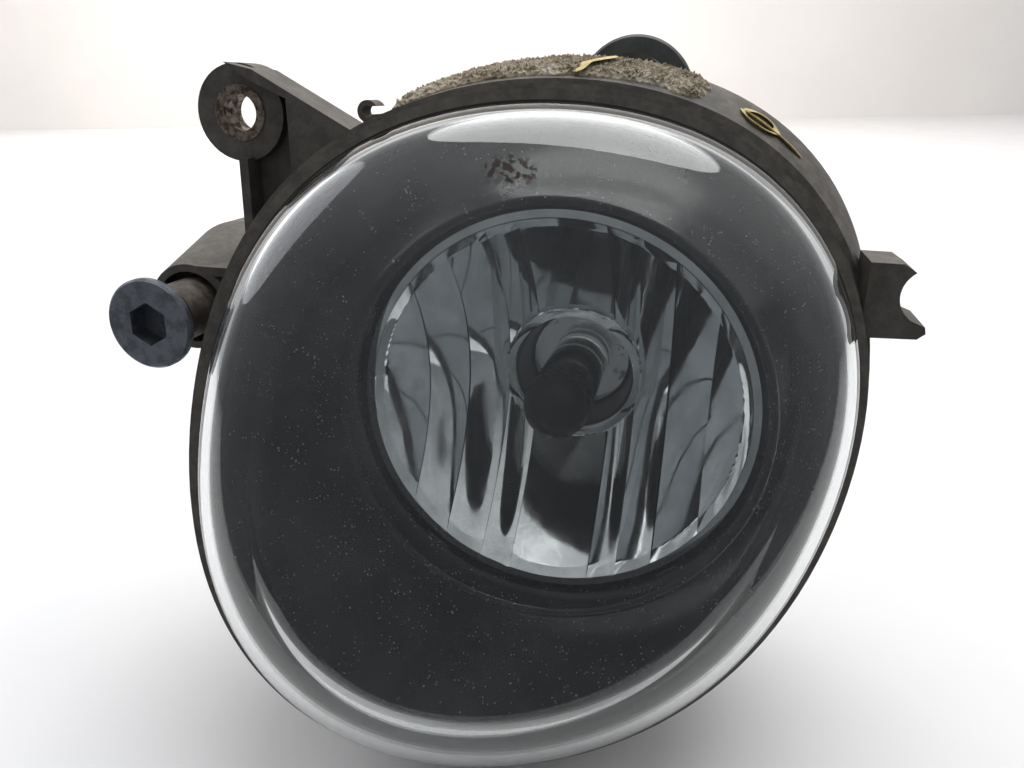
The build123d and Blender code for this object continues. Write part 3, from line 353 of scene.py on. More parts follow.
def bare_metal(name, bright, stained, stain_share, roughness, scale=4.0):
    """Plated or painted metal: bright where it is rubbed, and dull brown or dark where it has stained."""
    material, tree, place, shader = finish_base(name)
    stain = add(
        tree, "ShaderNodeTexNoise", inputs={"Scale": per_metre(scale), "Detail": 7.0, "Roughness": 0.7},
        links={"Vector": place},
    )
    low = 0.62 - 0.3 * stain_share
    spread = add(
        tree, "ShaderNodeMapRange", inputs={"From Min": low, "From Max": low + 0.14},
        links={"Value": stain.outputs["Fac"]},
    )
    colour = add(
        tree, "ShaderNodeMix", settings={"data_type": "RGBA"}, inputs={6: linear(bright), 7: linear(stained)},
        links={0: spread.outputs["Result"]},
    )
    tree.links.new(colour.outputs[2], shader.inputs["Base Color"])
    rough = add(
        tree, "ShaderNodeMapRange", inputs={"To Min": roughness, "To Max": min(1.0, roughness + 0.4)},
        links={"Value": spread.outputs["Result"]},
    )
    tree.links.new(rough.outputs["Result"], shader.inputs["Roughness"])
    metal = add(
        tree, "ShaderNodeMapRange", inputs={"To Min": 1.0, "To Max": 0.45},
        links={"Value": spread.outputs["Result"]},
    )
    tree.links.new(metal.outputs["Result"], shader.inputs["Metallic"])
    bump = add(
        tree, "ShaderNodeBump", inputs={"Strength": 0.4, "Distance": 0.05 * MM},
        links={"Height": stain.outputs["Fac"]},
    )
    tree.links.new(bump.outputs["Normal"], shader.inputs["Normal"])
    return material


def moulded_rubber(name, base, bloom, roughness):
    """Black rubber: matt, with a grey bloom in patches."""
    material, tree, place, shader = finish_base(name)
    patches = add(
        tree, "ShaderNodeTexNoise", inputs={"Scale": per_metre(5), "Detail": 6.0, "Roughness": 0.65},
        links={"Vector": place},
    )
    colour = add(
        tree, "ShaderNodeValToRGB", links={"Fac": patches.outputs["Fac"]}, stops=[(0.42, base), (0.75, bloom)],
    )
    tree.links.new(colour.outputs["Color"], shader.inputs["Base Color"])
    bump = add(
        tree, "ShaderNodeBump", inputs={"Strength": 0.3, "Distance": 0.05 * MM},
        links={"Height": patches.outputs["Fac"]},
    )
    tree.links.new(bump.outputs["Normal"], shader.inputs["Normal"])
    shader.inputs["Roughness"].default_value = roughness
    return material


def aged_lens_glass(name, film, stain):
    """Pressed glass: clear, with a thin uneven film of road dirt and one brown stain at the top of the face."""
    material, tree, place, shader = finish_base(name)
    film_noise = add(
        tree, "ShaderNodeTexNoise", inputs={"Scale": per_metre(22), "Detail": 9.0, "Roughness": 0.7},
        links={"Vector": place},
    )
    film_amount = add(
        tree, "ShaderNodeMapRange", inputs={"From Min": 0.42, "From Max": 0.8, "To Min": 0.002, "To Max": 0.03},
        links={"Value": film_noise.outputs["Fac"]},
    )
    top = lens_points(np.array(math.radians(93)), np.array(46.0), np.array(14.0))
    stain_place = to_frame(top)
    centred = add(
        tree, "ShaderNodeVectorMath", settings={"operation": "SUBTRACT"}, inputs={1: tuple(stain_place)},
        links={0: place},
    )
    shaped = add(
        tree, "ShaderNodeVectorMath", settings={"operation": "MULTIPLY"}, inputs={1: (0.55, 1.0, 1.0)},
        links={0: centred.outputs["Vector"]},
    )
    away = add(
        tree, "ShaderNodeVectorMath", settings={"operation": "LENGTH"}, links={0: shaped.outputs["Vector"]},
    )
    near = add(
        tree, "ShaderNodeMapRange",
        inputs={"From Min": 0.5 * MM, "From Max": 2.9 * MM, "To Min": 0.5, "To Max": 0.0},
        links={"Value": away.outputs["Value"]},
    )
    spots = add(
        tree, "ShaderNodeTexNoise", inputs={"Scale": per_metre(1.1), "Detail": 6.0}, links={"Vector": place},
    )
    broken = add(
        tree, "ShaderNodeMapRange", inputs={"From Min": 0.46, "From Max": 0.62},
        links={"Value": spots.outputs["Fac"]},
    )
    stained = add(
        tree, "ShaderNodeMath", settings={"operation": "MULTIPLY"},
        links={0: near.outputs["Result"], 1: broken.outputs["Result"]},
    )
    brown = add(
        tree, "ShaderNodeMath", settings={"operation": "MULTIPLY", "use_clamp": True}, inputs={1: 8.0},
        links={0: stained.outputs["Value"]},
    )
    colour = add(
        tree, "ShaderNodeMix", settings={"data_type": "RGBA"}, inputs={6: linear(film), 7: linear(stain)},
        links={0: brown.outputs["Value"]},
    )
    cover = add(
        tree, "ShaderNodeMath", settings={"operation": "MAXIMUM"},
        links={0: film_amount.outputs["Result"], 1: stained.outputs["Value"]},
    )
    clear = add(
        tree, "ShaderNodeMath", settings={"operation": "SUBTRACT"}, inputs={0: 1.0},
        links={1: cover.outputs["Value"]},
    )
    tree.links.new(colour.outputs[2], shader.inputs["Base Color"])
    tree.links.new(clear.outputs["Value"], shader.inputs["Transmission Weight"])
    shader.inputs["Roughness"].default_value = 0.015
    shader.inputs["IOR"].default_value = 1.5
    return material


def clear_quartz(name):
    """Drawn quartz tube: clear, with faint grey drawn streaks."""
    material, tree, place, shader = finish_base(name)
    streaks = add(
        tree, "ShaderNodeTexNoise", inputs={"Scale": per_metre(3), "Detail": 3.0}, links={"Vector": place},
    )
    colour = add(
        tree, "ShaderNodeValToRGB", links={"Fac": streaks.outputs["Fac"]},
        stops=[(0.4, "#ffffff"), (0.8, "#e6eaea")],
    )
    tree.links.new(colour.outputs["Color"], shader.inputs["Base Color"])
    shader.inputs["Transmission Weight"].default_value = 1.0
    shader.inputs["Roughness"].default_value = 0.01
    shader.inputs["IOR"].default_value = 1.46
    return material


def speckled_bezel(name, base, sheen, speck):
    """Glossy moulded plastic under a closed lens: dark, with a scatter of pale dust specks."""
    material, tree, place, shader = finish_base(name)
    shade = add(
        tree, "ShaderNodeTexNoise", inputs={"Scale": per_metre(18), "Detail": 5.0}, links={"Vector": place},
    )
    body = add(
        tree, "ShaderNodeValToRGB", links={"Fac": shade.outputs["Fac"]}, stops=[(0.35, base), (0.75, sheen)],
    )
    cells = add(
        tree, "ShaderNodeTexVoronoi", inputs={"Scale": per_metre(0.85), "Randomness": 1.0},
        links={"Vector": place},
    )
    sizes = add(
        tree, "ShaderNodeTexNoise", inputs={"Scale": per_metre(3.4), "Detail": 4.0}, links={"Vector": place},
    )
    reach = add(
        tree, "ShaderNodeMapRange", inputs={"From Min": 0.36, "From Max": 0.78, "To Min": 0.0, "To Max": 0.34},
        links={"Value": sizes.outputs["Fac"]},
    )
    inside = add(
        tree, "ShaderNodeMath", settings={"operation": "LESS_THAN"},
        links={0: cells.outputs["Distance"], 1: reach.outputs["Result"]},
    )
    faded = add(
        tree, "ShaderNodeMath", settings={"operation": "MULTIPLY"}, inputs={1: 0.75},
        links={0: inside.outputs["Value"]},
    )
    colour = add(
        tree, "ShaderNodeMix", settings={"data_type": "RGBA"}, inputs={7: linear(speck)},
        links={0: faded.outputs["Value"], 6: body.outputs["Color"]},
    )
    tree.links.new(colour.outputs[2], shader.inputs["Base Color"])
    rough = add(
        tree, "ShaderNodeMapRange", inputs={"To Min": 0.26, "To Max": 0.8},
        links={"Value": faded.outputs["Value"]},
    )
    tree.links.new(rough.outputs["Result"], shader.inputs["Roughness"])
    bump = add(
        tree, "ShaderNodeBump", inputs={"Strength": 0.15, "Distance": 0.05 * MM},
        links={"Height": shade.outputs["Fac"]},
    )
    tree.links.new(bump.outputs["Normal"], shader.inputs["Normal"])
    return material


def vacuum_mirror(name, bright, dull):
    """Vacuum-deposited aluminium over lacquer: a clean mirror with faint hazy patches and pin specks."""
    material, tree, place, shader = finish_base(name)
    haze = add(
        tree, "ShaderNodeTexNoise", inputs={"Scale": per_metre(9), "Detail": 7.0, "Roughness": 0.7},
        links={"Vector": place},
    )
    colour = add(
        tree, "ShaderNodeValToRGB", links={"Fac": haze.outputs["Fac"]}, stops=[(0.4, bright), (0.8, dull)],
    )
    tree.links.new(colour.outputs["Color"], shader.inputs["Base Color"])
    rough = add(
        tree, "ShaderNodeMapRange", inputs={"From Min": 0.4, "From Max": 0.8, "To Min": 0.035, "To Max": 0.16},
        links={"Value": haze.outputs["Fac"]},
    )
    tree.links.new(rough.outputs["Result"], shader.inputs["Roughness"])
    ripple = add(
        tree, "ShaderNodeTexNoise", inputs={"Scale": per_metre(7), "Detail": 1.0}, links={"Vector": place},
    )
    bump = add(
        tree, "ShaderNodeBump", inputs={"Strength": 0.25, "Distance": 0.12 * MM},
        links={"Height": ripple.outputs["Fac"]},
    )
    tree.links.new(bump.outputs["Normal"], shader.inputs["Normal"])
    shader.inputs["Metallic"].default_value = 1.0
    return material


def granular_foam(name, base, pale, dark):
    """Old open-cell foam: brown-beige crumbs with pale fibres, no gloss; the pores are darkened with painted shade.
    """
    material, tree, place, shader = finish_base(name)
    crumbs = add(
        tree, "ShaderNodeTexVoronoi", inputs={"Scale": per_metre(0.9), "Randomness": 1.0},
        links={"Vector": place},
    )
    patches = add(
        tree, "ShaderNodeTexNoise", inputs={"Scale": per_metre(4.5), "Detail": 8.0, "Roughness": 0.75},
        links={"Vector": place},
    )
    body = add(
        tree, "ShaderNodeValToRGB", links={"Fac": patches.outputs["Fac"]},
        stops=[(0.34, dark), (0.5, base), (0.7, pale)],
    )
    # painted shade: the colour is multiplied down to 0.72 towards each cell's middle, where the bump sinks the
    # pores
    pore_shade = add(
        tree, "ShaderNodeMapRange", inputs={"From Min": 0.0, "From Max": 0.55, "To Min": 0.72, "To Max": 1.0},
        links={"Value": crumbs.outputs["Distance"]},
    )
    colour = add(
        tree, "ShaderNodeMix", settings={"data_type": "RGBA", "blend_type": "MULTIPLY"}, inputs={0: 1.0},
        links={6: body.outputs["Color"], 7: pore_shade.outputs["Result"]},
    )
    tree.links.new(colour.outputs[2], shader.inputs["Base Color"])
    bump = add(
        tree, "ShaderNodeBump", inputs={"Strength": 0.9, "Distance": 0.5 * MM},
        links={"Height": crumbs.outputs["Distance"]},
    )
    tree.links.new(bump.outputs["Normal"], shader.inputs["Normal"])
    shader.inputs["Roughness"].default_value = 0.95
    return material


def marker_paint(name, colour_hex, thin_hex):
    """Dried paint marker: opaque in the middle of the stroke and thin and dirty in patches."""
    material, tree, place, shader = finish_base(name)
    patches = add(
        tree, "ShaderNodeTexNoise", inputs={"Scale": per_metre(1.8), "Detail": 5.0, "Roughness": 0.7},
        links={"Vector": place},
    )
    colour = add(
        tree, "ShaderNodeValToRGB", links={"Fac": patches.outputs["Fac"]},
        stops=[(0.36, thin_hex), (0.52, colour_hex)],
    )
    tree.links.new(colour.outputs["Color"], shader.inputs["Base Color"])
    shader.inputs["Roughness"].default_value = 0.6
    return material


# ---- settings ----
class FogLampColours(bpy.types.PropertyGroup):
    housing: bpy.props.StringProperty(
        name="Housing", description="Moulded housing, sRGB hex", default="#3f3c38",
    )
    housing_worn: bpy.props.StringProperty(
        name="Housing, worn", description="Rubbed housing, sRGB hex", default="#514c46",
    )
    dust: bpy.props.StringProperty(name="Dust", description="Dust on upward faces, sRGB hex", default="#91897e")
    bezel: bpy.props.StringProperty(name="Bezel", description="Glossy bezel, sRGB hex", default="#0b0c0d")
    foam: bpy.props.StringProperty(name="Foam", description="Foam strip, sRGB hex", default="#b5a993")
    marker: bpy.props.StringProperty(
        name="Marker paint", description="Inspector's paint marks, sRGB hex", default="#d8c48a",
    )
    mirror: bpy.props.StringProperty(name="Mirror", description="Aluminium coat, sRGB hex", default="#dfe2e4")


class FogLampSizes(bpy.types.PropertyGroup):
    face_crown: bpy.props.FloatProperty(
        name="Face crown", description="Height of the lens face's middle above its edge, mm", default=0.6,
        min=0.0, max=2.0,
    )
    facet_depth: bpy.props.FloatProperty(
        name="Facet depth", description="How far each mirror facet bulges, mm", default=0.5, min=0.0, max=1.2,
    )
    foam_grain: bpy.props.FloatProperty(
        name="Foam grain", description="Height of the foam's crumbs, mm", default=0.35, min=0.0, max=0.8,
    )
    coil_turns: bpy.props.IntProperty(
        name="Filament turns", description="Turns of the bulb's coil", default=13, min=5, max=30,
    )
    light_power: bpy.props.FloatProperty(
        name="Light", description="Power of the overhead softbox", default=17.5, min=0.0, unit="POWER",
    )


def settings():
    return bpy.context.scene.fog_lamp_sizes, bpy.context.scene.fog_lamp_colours


def dress(piece, material, body, nodes=()):
    """Gives a new piece its finish, its body and the nodes that it stands for."""
    piece.data.materials.clear()
    piece.data.materials.append(material)
    if body:
        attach(piece, body)
    if nodes:
        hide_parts(*nodes)
    return piece


class FOGLAMP_OT_lens(bpy.types.Operator):
    """Builds the pressed glass lens"""

    bl_idname = "fog_lamp.lens"
    bl_label = "Lens"

    def execute(self, context):
        """Rows run from the face's middle over the shoulder, down the skirt and back inside; columns go round.
        The shoulder is a quarter of an ellipse outside the outline less its width."""
        sizes, _ = settings()
        angle = np.linspace(0, 2 * math.pi, 240, endpoint=False)[None]
        full = outline_radius(angle)
        grids = []
        stop = math.radians(SHOULDER_STOP)
        for inset, height, downward in (
            (0.0, SHOULDER_HEIGHT, False), (LENS_WALL, SHOULDER_HEIGHT - LENS_WALL, True),
        ):
            share = np.concatenate([np.linspace(0, 0.96, 22), [0.98, 0.99, 1.0]])[:, None]
            face = lens_points(
                angle, share * (full - inset - SHOULDER_WIDTH),
                height + sizes.face_crown * (1 - share**2) + 0 * angle,
            )
            turn = np.linspace(stop, 0, 24)[1:, None]
            inward = SHOULDER_WIDTH * (1 - np.cos(turn)) / (1 - math.cos(stop))
            shoulder = lens_points(
                angle, full - inset - inward, height * np.sin(turn) / math.sin(stop) + 0 * angle,
            )
            drop = np.linspace(0, -LENS_SKIRT, 5)[1:, None]
            skirt = lens_points(angle, full - inset + 0 * drop, drop + 0 * angle)
            rows = np.concatenate([face, shoulder, skirt])
            grids.append(rows[::-1] if downward else rows)
        shell = np.concatenate(grids)
        lens = surface("lens_glass", [(shell, False, True, "out")], 60)
        glass = aged_lens_glass("pressed_lens_glass_with_road_film", "#f4f6f5", "#3a2412")
        dress(lens, glass, "lamp_housing", ["front_lens"])
        return {"FINISHED"}


class FOGLAMP_OT_bezel(bpy.types.Operator):
    """Builds the dark bezel between the lens and the reflector"""

    bl_idname = "fog_lamp.bezel"
    bl_label = "Bezel"

    def execute(self, context):
        """Rows run from the tube's back end over the rounded lip, along the dished ring and into the lens's groove.

        The dish is the straight line from lip to edge, sunk by four times sag times share times one less share."""
        _, colours = settings()
        angle = np.linspace(0, 2 * math.pi, 288, endpoint=False)[None]
        across, up, out = plane_axes(LIP_TILT)
        ring = np.cos(angle)[..., None] * across + np.sin(angle)[..., None] * up
        origin = np.array([0.0, LIP_Y, 0.0])
        lip = origin + LIP_RADIUS * ring
        back = lip.copy()
        back[..., 1] = RIM_Y
        depth = np.linspace(0, 1, 6)[:-1, None, None]
        tube = back * (1 - depth) + lip * depth
        roll = np.radians(np.linspace(0, 150, 8))[:, None, None]
        bead = lip + LIP_BEAD * ((1 - np.cos(roll)) * ring + np.sin(roll) * out)
        edge_radius = outline_radius(angle) - LENS_WALL - BEZEL_EDGE_GAP
        edge = lens_points(angle, edge_radius, BEZEL_EDGE_HEIGHT + 0 * angle)
        share = np.linspace(0, 1, 40)[1:, None, None]
        sag = np.array([0.0, BEZEL_SAG, 0.0])
        dish = bead[-1:] * (1 - share) + edge * share + 4 * sag * share * (1 - share)
        foot_down = np.linspace(0, -BEZEL_FOOT, 4)[1:, None]
        foot_radius = outline_radius(angle) - LENS_WALL - 0.9 + 0 * foot_down
        foot = lens_points(angle, foot_radius, BEZEL_EDGE_HEIGHT + foot_down + 0 * angle)
        rows = np.concatenate([tube, bead, dish, foot])
        bezel = surface("bezel_ring", [(rows, False, True, (0, -1, 0))], 50)
        wall = bezel.modifiers.new("wall", "SOLIDIFY")
        wall.thickness = BEZEL_WALL * MM
        wall.offset = -1.0
        finish = speckled_bezel("glossy_moulded_bezel_with_dust", colours.bezel, "#1b1e20", "#9fa3a3")
        dress(bezel, finish, "lamp_housing", ["bezel"])
        return {"FINISHED"}


FACET_EDGES = (-34.9, -27.0, -20.5, -13.5, -7.6, 7.6, 13.0, 19.5, 27.5, 34.9)
FACET_STEPS = (0.9, 0.3, 0.7, 0.15, 0.55, 0.15, 0.7, 0.3, 0.9)


class FOGLAMP_OT_reflector(bpy.types.Operator):
    """Builds the mirror's upright facets and the raised ring round the bulb's hole"""

    bl_idname = "fog_lamp.reflector"
    bl_label = "Reflector facets"

    def execute(self, context):
        """Each strip between two edges is the paraboloid moved forward by its step and by a bulge of
        depth times one less the square of the place across it. A cone round the hole stands in front
        of the strips."""
        sizes, colours = settings()
        rim = math.sqrt(4 * FOCAL_LENGTH * (FOCAL_LENGTH - RIM_Y)) - 0.15
        grids = []
        for number, (left, right) in enumerate(zip(FACET_EDGES[:-1], FACET_EDGES[1:])):
            left, right = max(left, -rim), min(right, rim)
            for half in (1, -1):
                x = np.linspace(left, right, 22)[:, None]
                share = np.linspace(0, 1, 90)[None]
                inner = np.sqrt(np.maximum(BULB_HOLE**2 - x**2, 0))
                outer = np.sqrt(np.maximum(rim**2 - x**2, 0))
                z = half * (inner + (outer - inner) * share)
                radius_squared = x**2 + z**2
                place = (x - (left + right) / 2) / ((right - left) / 2)
                base = FOCAL_LENGTH - radius_squared / (4 * FOCAL_LENGTH)
                proud = 0.25 + FACET_STEPS[number] + sizes.facet_depth * (1 - place**2) * (1 + 0 * z)
                near_rim = np.clip((rim - np.sqrt(radius_squared)) / RIM_FADE, 0, 1)
                strip = base - proud * (0.3 + 0.7 * near_rim)
                cone = CONE_FRONT + CONE_SLOPE * (np.sqrt(radius_squared) - BULB_HOLE)
                y = np.minimum(strip, cone)
                grids.append((np.stack([x + 0 * z, y, z], -1), False, False, (0, -1, 0)))
        inside = BULB_HOLE - 0.1
        throat = turned_grid([(BULB_HOLE, CONE_FRONT), (inside, 5.6), (inside, 7.0), (inside, 8.0)], 144)
        grids.append((throat, False, True, (0, -1, 0)))
        facets = surface("reflector_facets", grids, 6)
        mirror = vacuum_mirror("vacuum_aluminised_mirror", colours.mirror, "#b4b7b8")
        dress(facets, mirror, "reflector_unit")
        return {"FINISHED"}


class FOGLAMP_OT_bulb(bpy.types.Operator):
    """Builds the bulb's glass, black tip and filament"""

    bl_idname = "fog_lamp.bulb"
    bl_label = "Bulb"

    def execute(self, context):
        """Glass and tip are profiles turned about the lamp's axis.

        The filament is a round section carried along a helix.
        """
        sizes, _ = settings()
        side = [(GLASS_RADIUS, -6.0), (GLASS_RADIUS, 2.0), (GLASS_RADIUS, 10.0), (GLASS_RADIUS, 18.6)]
        foot = [(5.4, GLASS_END), (0.0, GLASS_END)]
        outer = np.concatenate([arc((0, TIP_Y), GLASS_RADIUS, -90, 0, 18), side, foot])
        bore = GLASS_RADIUS - GLASS_WALL
        pinch = [(bore, -6.0), (bore, 4.0), (4.6, 7.0), (3.2, 8.6), (0.0, 9.0)]
        inner = np.concatenate([arc((0, TIP_Y), bore, -90, 0, 18), pinch])
        walls = [(turned_grid(outer), False, True, "out"), (turned_grid(inner), False, True, "in")]
        glass = surface("bulb_envelope", walls, 50)
        dress(glass, clear_quartz("drawn_quartz_envelope"), "bulb", ["bulb_glass"])
        skin = np.concatenate([
            arc((0, TIP_Y), 6.2, -90, 0, 18), [(6.2, -10.5), (6.18, -9.6), (6.06, -9.4)],
            arc((0, TIP_Y), 6.04, 0, -90, 18),
        ])
        tip = surface("bulb_tip_coat", [(turned_grid(skin), False, True, "out")], 60)
        black = bare_metal("baked_black_tip_coat", "#2c2c2d", "#151515", 0.6, 0.38, 2.0)
        dress(tip, black, "bulb", ["bulb_black_tip"])
        turns = sizes.coil_turns
        along = np.linspace(0, 1, turns * 20)
        sweep = 2 * math.pi * turns * along
        lengthwise = COIL_LENGTH * (along - 0.5)
        path = np.stack([COIL_RADIUS * np.cos(sweep), lengthwise, COIL_RADIUS * np.sin(sweep)], -1)
        radial = np.stack([np.cos(sweep), 0 * sweep, np.sin(sweep)], -1)
        ends = np.clip(np.minimum(along, 1 - along) * 60, 0.02, 1)
        wire = ribbon_grid(path, radial, COIL_WIRE * ends, COIL_WIRE, 8)
        coil = surface("filament_coil", [(wire, False, True, "out")], 60)
        tungsten = bare_metal("drawn_tungsten_wire", "#5a5b5d", "#2f2f30", 0.5, 0.45, 1.0)
        dress(coil, tungsten, "bulb", ["bulb_filament"])
        return {"FINISHED"}


class FOGLAMP_OT_foam(bpy.types.Operator):
    """Builds the crumbling foam strip on top of the drum"""

    bl_idname = "fog_lamp.foam"
    bl_label = "Foam strip"

    def execute(self, context):
        """A patch of the drum's skin, raised by its thickness plus a sum of fine waves.

        It is let down to the skin at ragged edges.
        """
        sizes, colours = settings()
        across = np.linspace(0, 1, 340)[:, None]
        back = np.linspace(0, 1, 150)[None]
        ragged = 2.2 * wander(back * 1.2, 0 * across, 3, 5) * np.abs(2 * across - 1) ** 6
        angle = np.radians(FOAM_ANGLES[0] + (FOAM_ANGLES[1] - FOAM_ANGLES[0]) * across + ragged)
        share = 0.10 + 0.62 * back + 0.02 * wander(across * 2.5, 0 * back, 6, 3) * (1 - back) ** 3
        crumbs = sizes.foam_grain * wander(across * 5.2, back * 2.4, 22, 11, 60)
        edge = np.minimum(np.minimum(across, 1 - across) * 30, np.minimum(back, 1 - back) * 14)
        height = (FOAM_HEIGHT + crumbs) * np.clip(edge, 0, 1) ** 0.5 - 0.1 * (edge <= 0)
        points = drum_points(angle, share, height)
        foam = surface("foam_patch", [(points, False, False, (0, 0, 1))], 80)
        finish = granular_foam("crumbling_open_cell_foam", colours.foam, "#d2cabd", "#6a5d4c")
        dress(foam, finish, "lamp_housing", ["foam_strip"])
        wall = foam.modifiers.new("thickness", "SOLIDIFY")
        wall.thickness = FOAM_WALL * MM
        wall.offset = -1.0
        return {"FINISHED"}


def mark_on_drum(name, angles, shares, proud, width):
    """A flat stroke of paint that follows the drum, narrowing at both ends."""
    path = drum_points(np.asarray(angles), np.asarray(shares), proud)
    ahead = drum_points(np.asarray(angles), np.asarray(shares), proud + 1.0)
    normal = ahead - path
    normal /= np.linalg.norm(normal, axis=1, keepdims=True)
    along = np.linspace(0, 1, len(path))
    widths = width * np.clip(np.minimum(along, 1 - along) * 14, 0.03, 1) ** 0.5
    return surface(name, [(ribbon_grid(path, normal, widths, STROKE_THICKNESS, 10), False, True, "out")], 60)


class FOGLAMP_OT_marks(bpy.types.Operator):
    """Builds the two yellow inspection marks"""

    bl_idname = "fog_lamp.marks"
    bl_label = "Paint marks"

    def execute(self, context):
        """A dash across the foam, and a loop with a tail on the drum.

        The loop is an ellipse of angle and share, and the tail a straight run.
        """
        _, colours = settings()
        paint = marker_paint("dried_yellow_marker_paint", colours.marker, "#a8985f")
        along = np.linspace(0, 1, 60)
        climb = 0.7 + 1.35 * np.clip(4 * along, 0, 1)
        dash = mark_on_drum("paint_dash", np.radians(85 - 4.0 * along), 0.08 + 0.46 * along, climb, 3.0)
        dress(dash, paint, "lamp_housing")
        turn = np.linspace(0, 2 * math.pi, 80)
        loop_angle = 55 + 3.0 * np.cos(turn)
        loop_share = 0.40 + 0.20 * np.sin(turn)
        tail = np.linspace(0, 1, 50)[1:]
        angles = np.concatenate([loop_angle, loop_angle[-1] - 11.5 * tail])
        shares = np.concatenate([loop_share, 0.40 - 0.10 * tail])
        loop = mark_on_drum("paint_loop", np.radians(angles), shares, 0.15, 1.9)
        dress(loop, paint, "lamp_housing")
        return {"FINISHED"}


class FOGLAMP_OT_boot(bpy.types.Operator):
    """Builds the folded rubber boot behind the lamp"""

    bl_idname = "fog_lamp.boot"
    bl_label = "Rear boot"

    def execute(self, context):
        """A profile turned about the lamp's axis.

        It has a leg over the housing's collar, a deep fold, and a lip on the bulb holder.
        """
        outside = np.concatenate([
            [(27.7, 34.6), (27.75, 36.0), (27.7, 38.6)],
            arc((26.6, 38.7), 1.1, 0, 90, 6),
            [(25.0, 39.85), (23.7, 39.8)],
            arc((23.6, 38.9), 0.9, 90, 170, 5),
            [
                (22.5, 37.2), (22.1, 36.0), (21.3, 34.6), (20.0, 33.2), (19.2, 32.3), (18.2, 31.9),
                (17.4, 31.6), (16.4, 31.35), (15.75, 31.0), (15.56, 30.4),
            ],
        ])
        inside = np.concatenate([
            [
                (15.56, 26.2), (16.7, 26.1), (16.85, 29.6), (18.4, 30.4), (20.4, 31.4), (22.0, 33.0),
                (23.3, 34.6), (23.9, 35.6),
            ],
            [(23.9, 38.4), (26.5, 38.5), (26.5, 34.6)],
        ])
        boot = surface("rubber_boot", [(turned_grid(np.concatenate([outside, inside])), True, True, "out")], 55)
        rubber = moulded_rubber("moulded_nitrile_boot", "#121213", "#2e2e2d", 0.62)
        dress(boot, rubber, None, ["rear_boot"])
        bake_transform(boot)
        return {"FINISHED"}


class FOGLAMP_OT_frame_finishes(bpy.types.Operator):
    """Gives each frame node that stays visible its finish"""

    bl_idname = "fog_lamp.frame_finishes"
    bl_label = "Frame finishes"

    def execute(self, context):
        _, colours = settings()
        housing = moulded_plastic(
            "moulded_glass_filled_nylon_housing", colours.housing, colours.housing_worn, colours.dust, 0.55,
            0.55, 0.55,
        )
        cap = moulded_plastic("moulded_polypropylene_cap", "#3c4140", "#4c514f", "#8b8a82", 0.4, 0.6, 0.42)
        base = moulded_plastic("moulded_bulb_base_nylon", "#4a4b49", "#5a5b58", "#8b8a82", 0.25, 0.6, 0.45)
        nylon = moulded_plastic("natural_nylon", "#cfc9ba", "#bdb6a6", "#a09888", 0.2, 0.6, 0.4)
        holder = moulded_plastic("moulded_black_holder", "#191a1b", "#26282a", "#6d6a66", 0.2, 0.5, 0.35)
        screw = bare_metal("blackened_steel_screw", "#7b7f86", "#5f6369", 0.5, 0.5, 3.0)
        guide = moulded_plastic("dusty_guide_sleeve", "#35312d", "#4b453e", "#857b6f", 0.8, 0.5, 0.6)
        rusty = bare_metal("rusted_steel_sleeve", "#8d8379", "#5a4335", 0.6, 0.5, 1.6)
        zinc = bare_metal("zinc_plated_steel", "#a5a6a4", "#6e6a62", 0.3, 0.3, 3.0)
        bright = bare_metal("pressed_stainless_collar", "#c9cacb", "#8d8c8a", 0.2, 0.16, 4.0)
        tin = bare_metal("tinned_brass_blade", "#c8bb96", "#8f8468", 0.3, 0.3, 3.0)
        wire = bare_metal("molybdenum_lead_wire", "#7d7d7f", "#4c4c4e", 0.4, 0.35, 1.5)
        rubber = moulded_rubber("extruded_rubber_seal", "#0c0c0d", "#242423", 0.7)
        mirror = vacuum_mirror("aluminised_reflector_body", colours.mirror, "#a9acad")
        finishes = {
            "housing_shell": housing,
            "lens_seal": rubber,
            "ear_sleeve": rusty,
            "screw_guide_sleeve": guide,
            "screw_seal_ring": rubber,
            "aim_screw": screw,
            "screw_clip": zinc,
            "aim_nut": nylon,
            "aim_ball_stud": zinc,
            "reflector": mirror,
            "pivot_pins": zinc,
            "pivot_bushes": nylon,
            "bulb_holder": holder,
            "holder_screws": zinc,
            "bulb_lead_wires": wire,
            "bulb_collar": bright,
            "bulb_base": base,
            "bulb_terminals": tin,
            "bulb_seal_ring": rubber,
            "boot_clamp": zinc,
            "breather_cap": cap,
            "breather_membrane": nylon,
        }
        for node, material in finishes.items():
            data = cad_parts[node].data
            data.materials.clear()
            data.materials.append(material)
        return {"FINISHED"}


CAMERA_PLACE = (23.4, -153.8, 55.7)
CAMERA_RIGHT = (0.9730, 0.2296, 0.0221)
CAMERA_UP = (-0.0987, 0.3279, 0.9395)
CAMERA_FORWARD = (-0.2085, 0.9163, -0.3418)
CAMERA_LENS = 28.85
TABLE_LEAN = 0.0368  # fall of the table towards the left, per unit across
TABLE_GAP = 0.4
TABLE_HALF_WIDTH = 4000.0
TABLE_FRONT = 78.0
TABLE_BACK = 3050.0
WALL_HEIGHT = 3000.0
ROOM_BRIGHT_SIDE = (0.0, 0.5, 0.866)


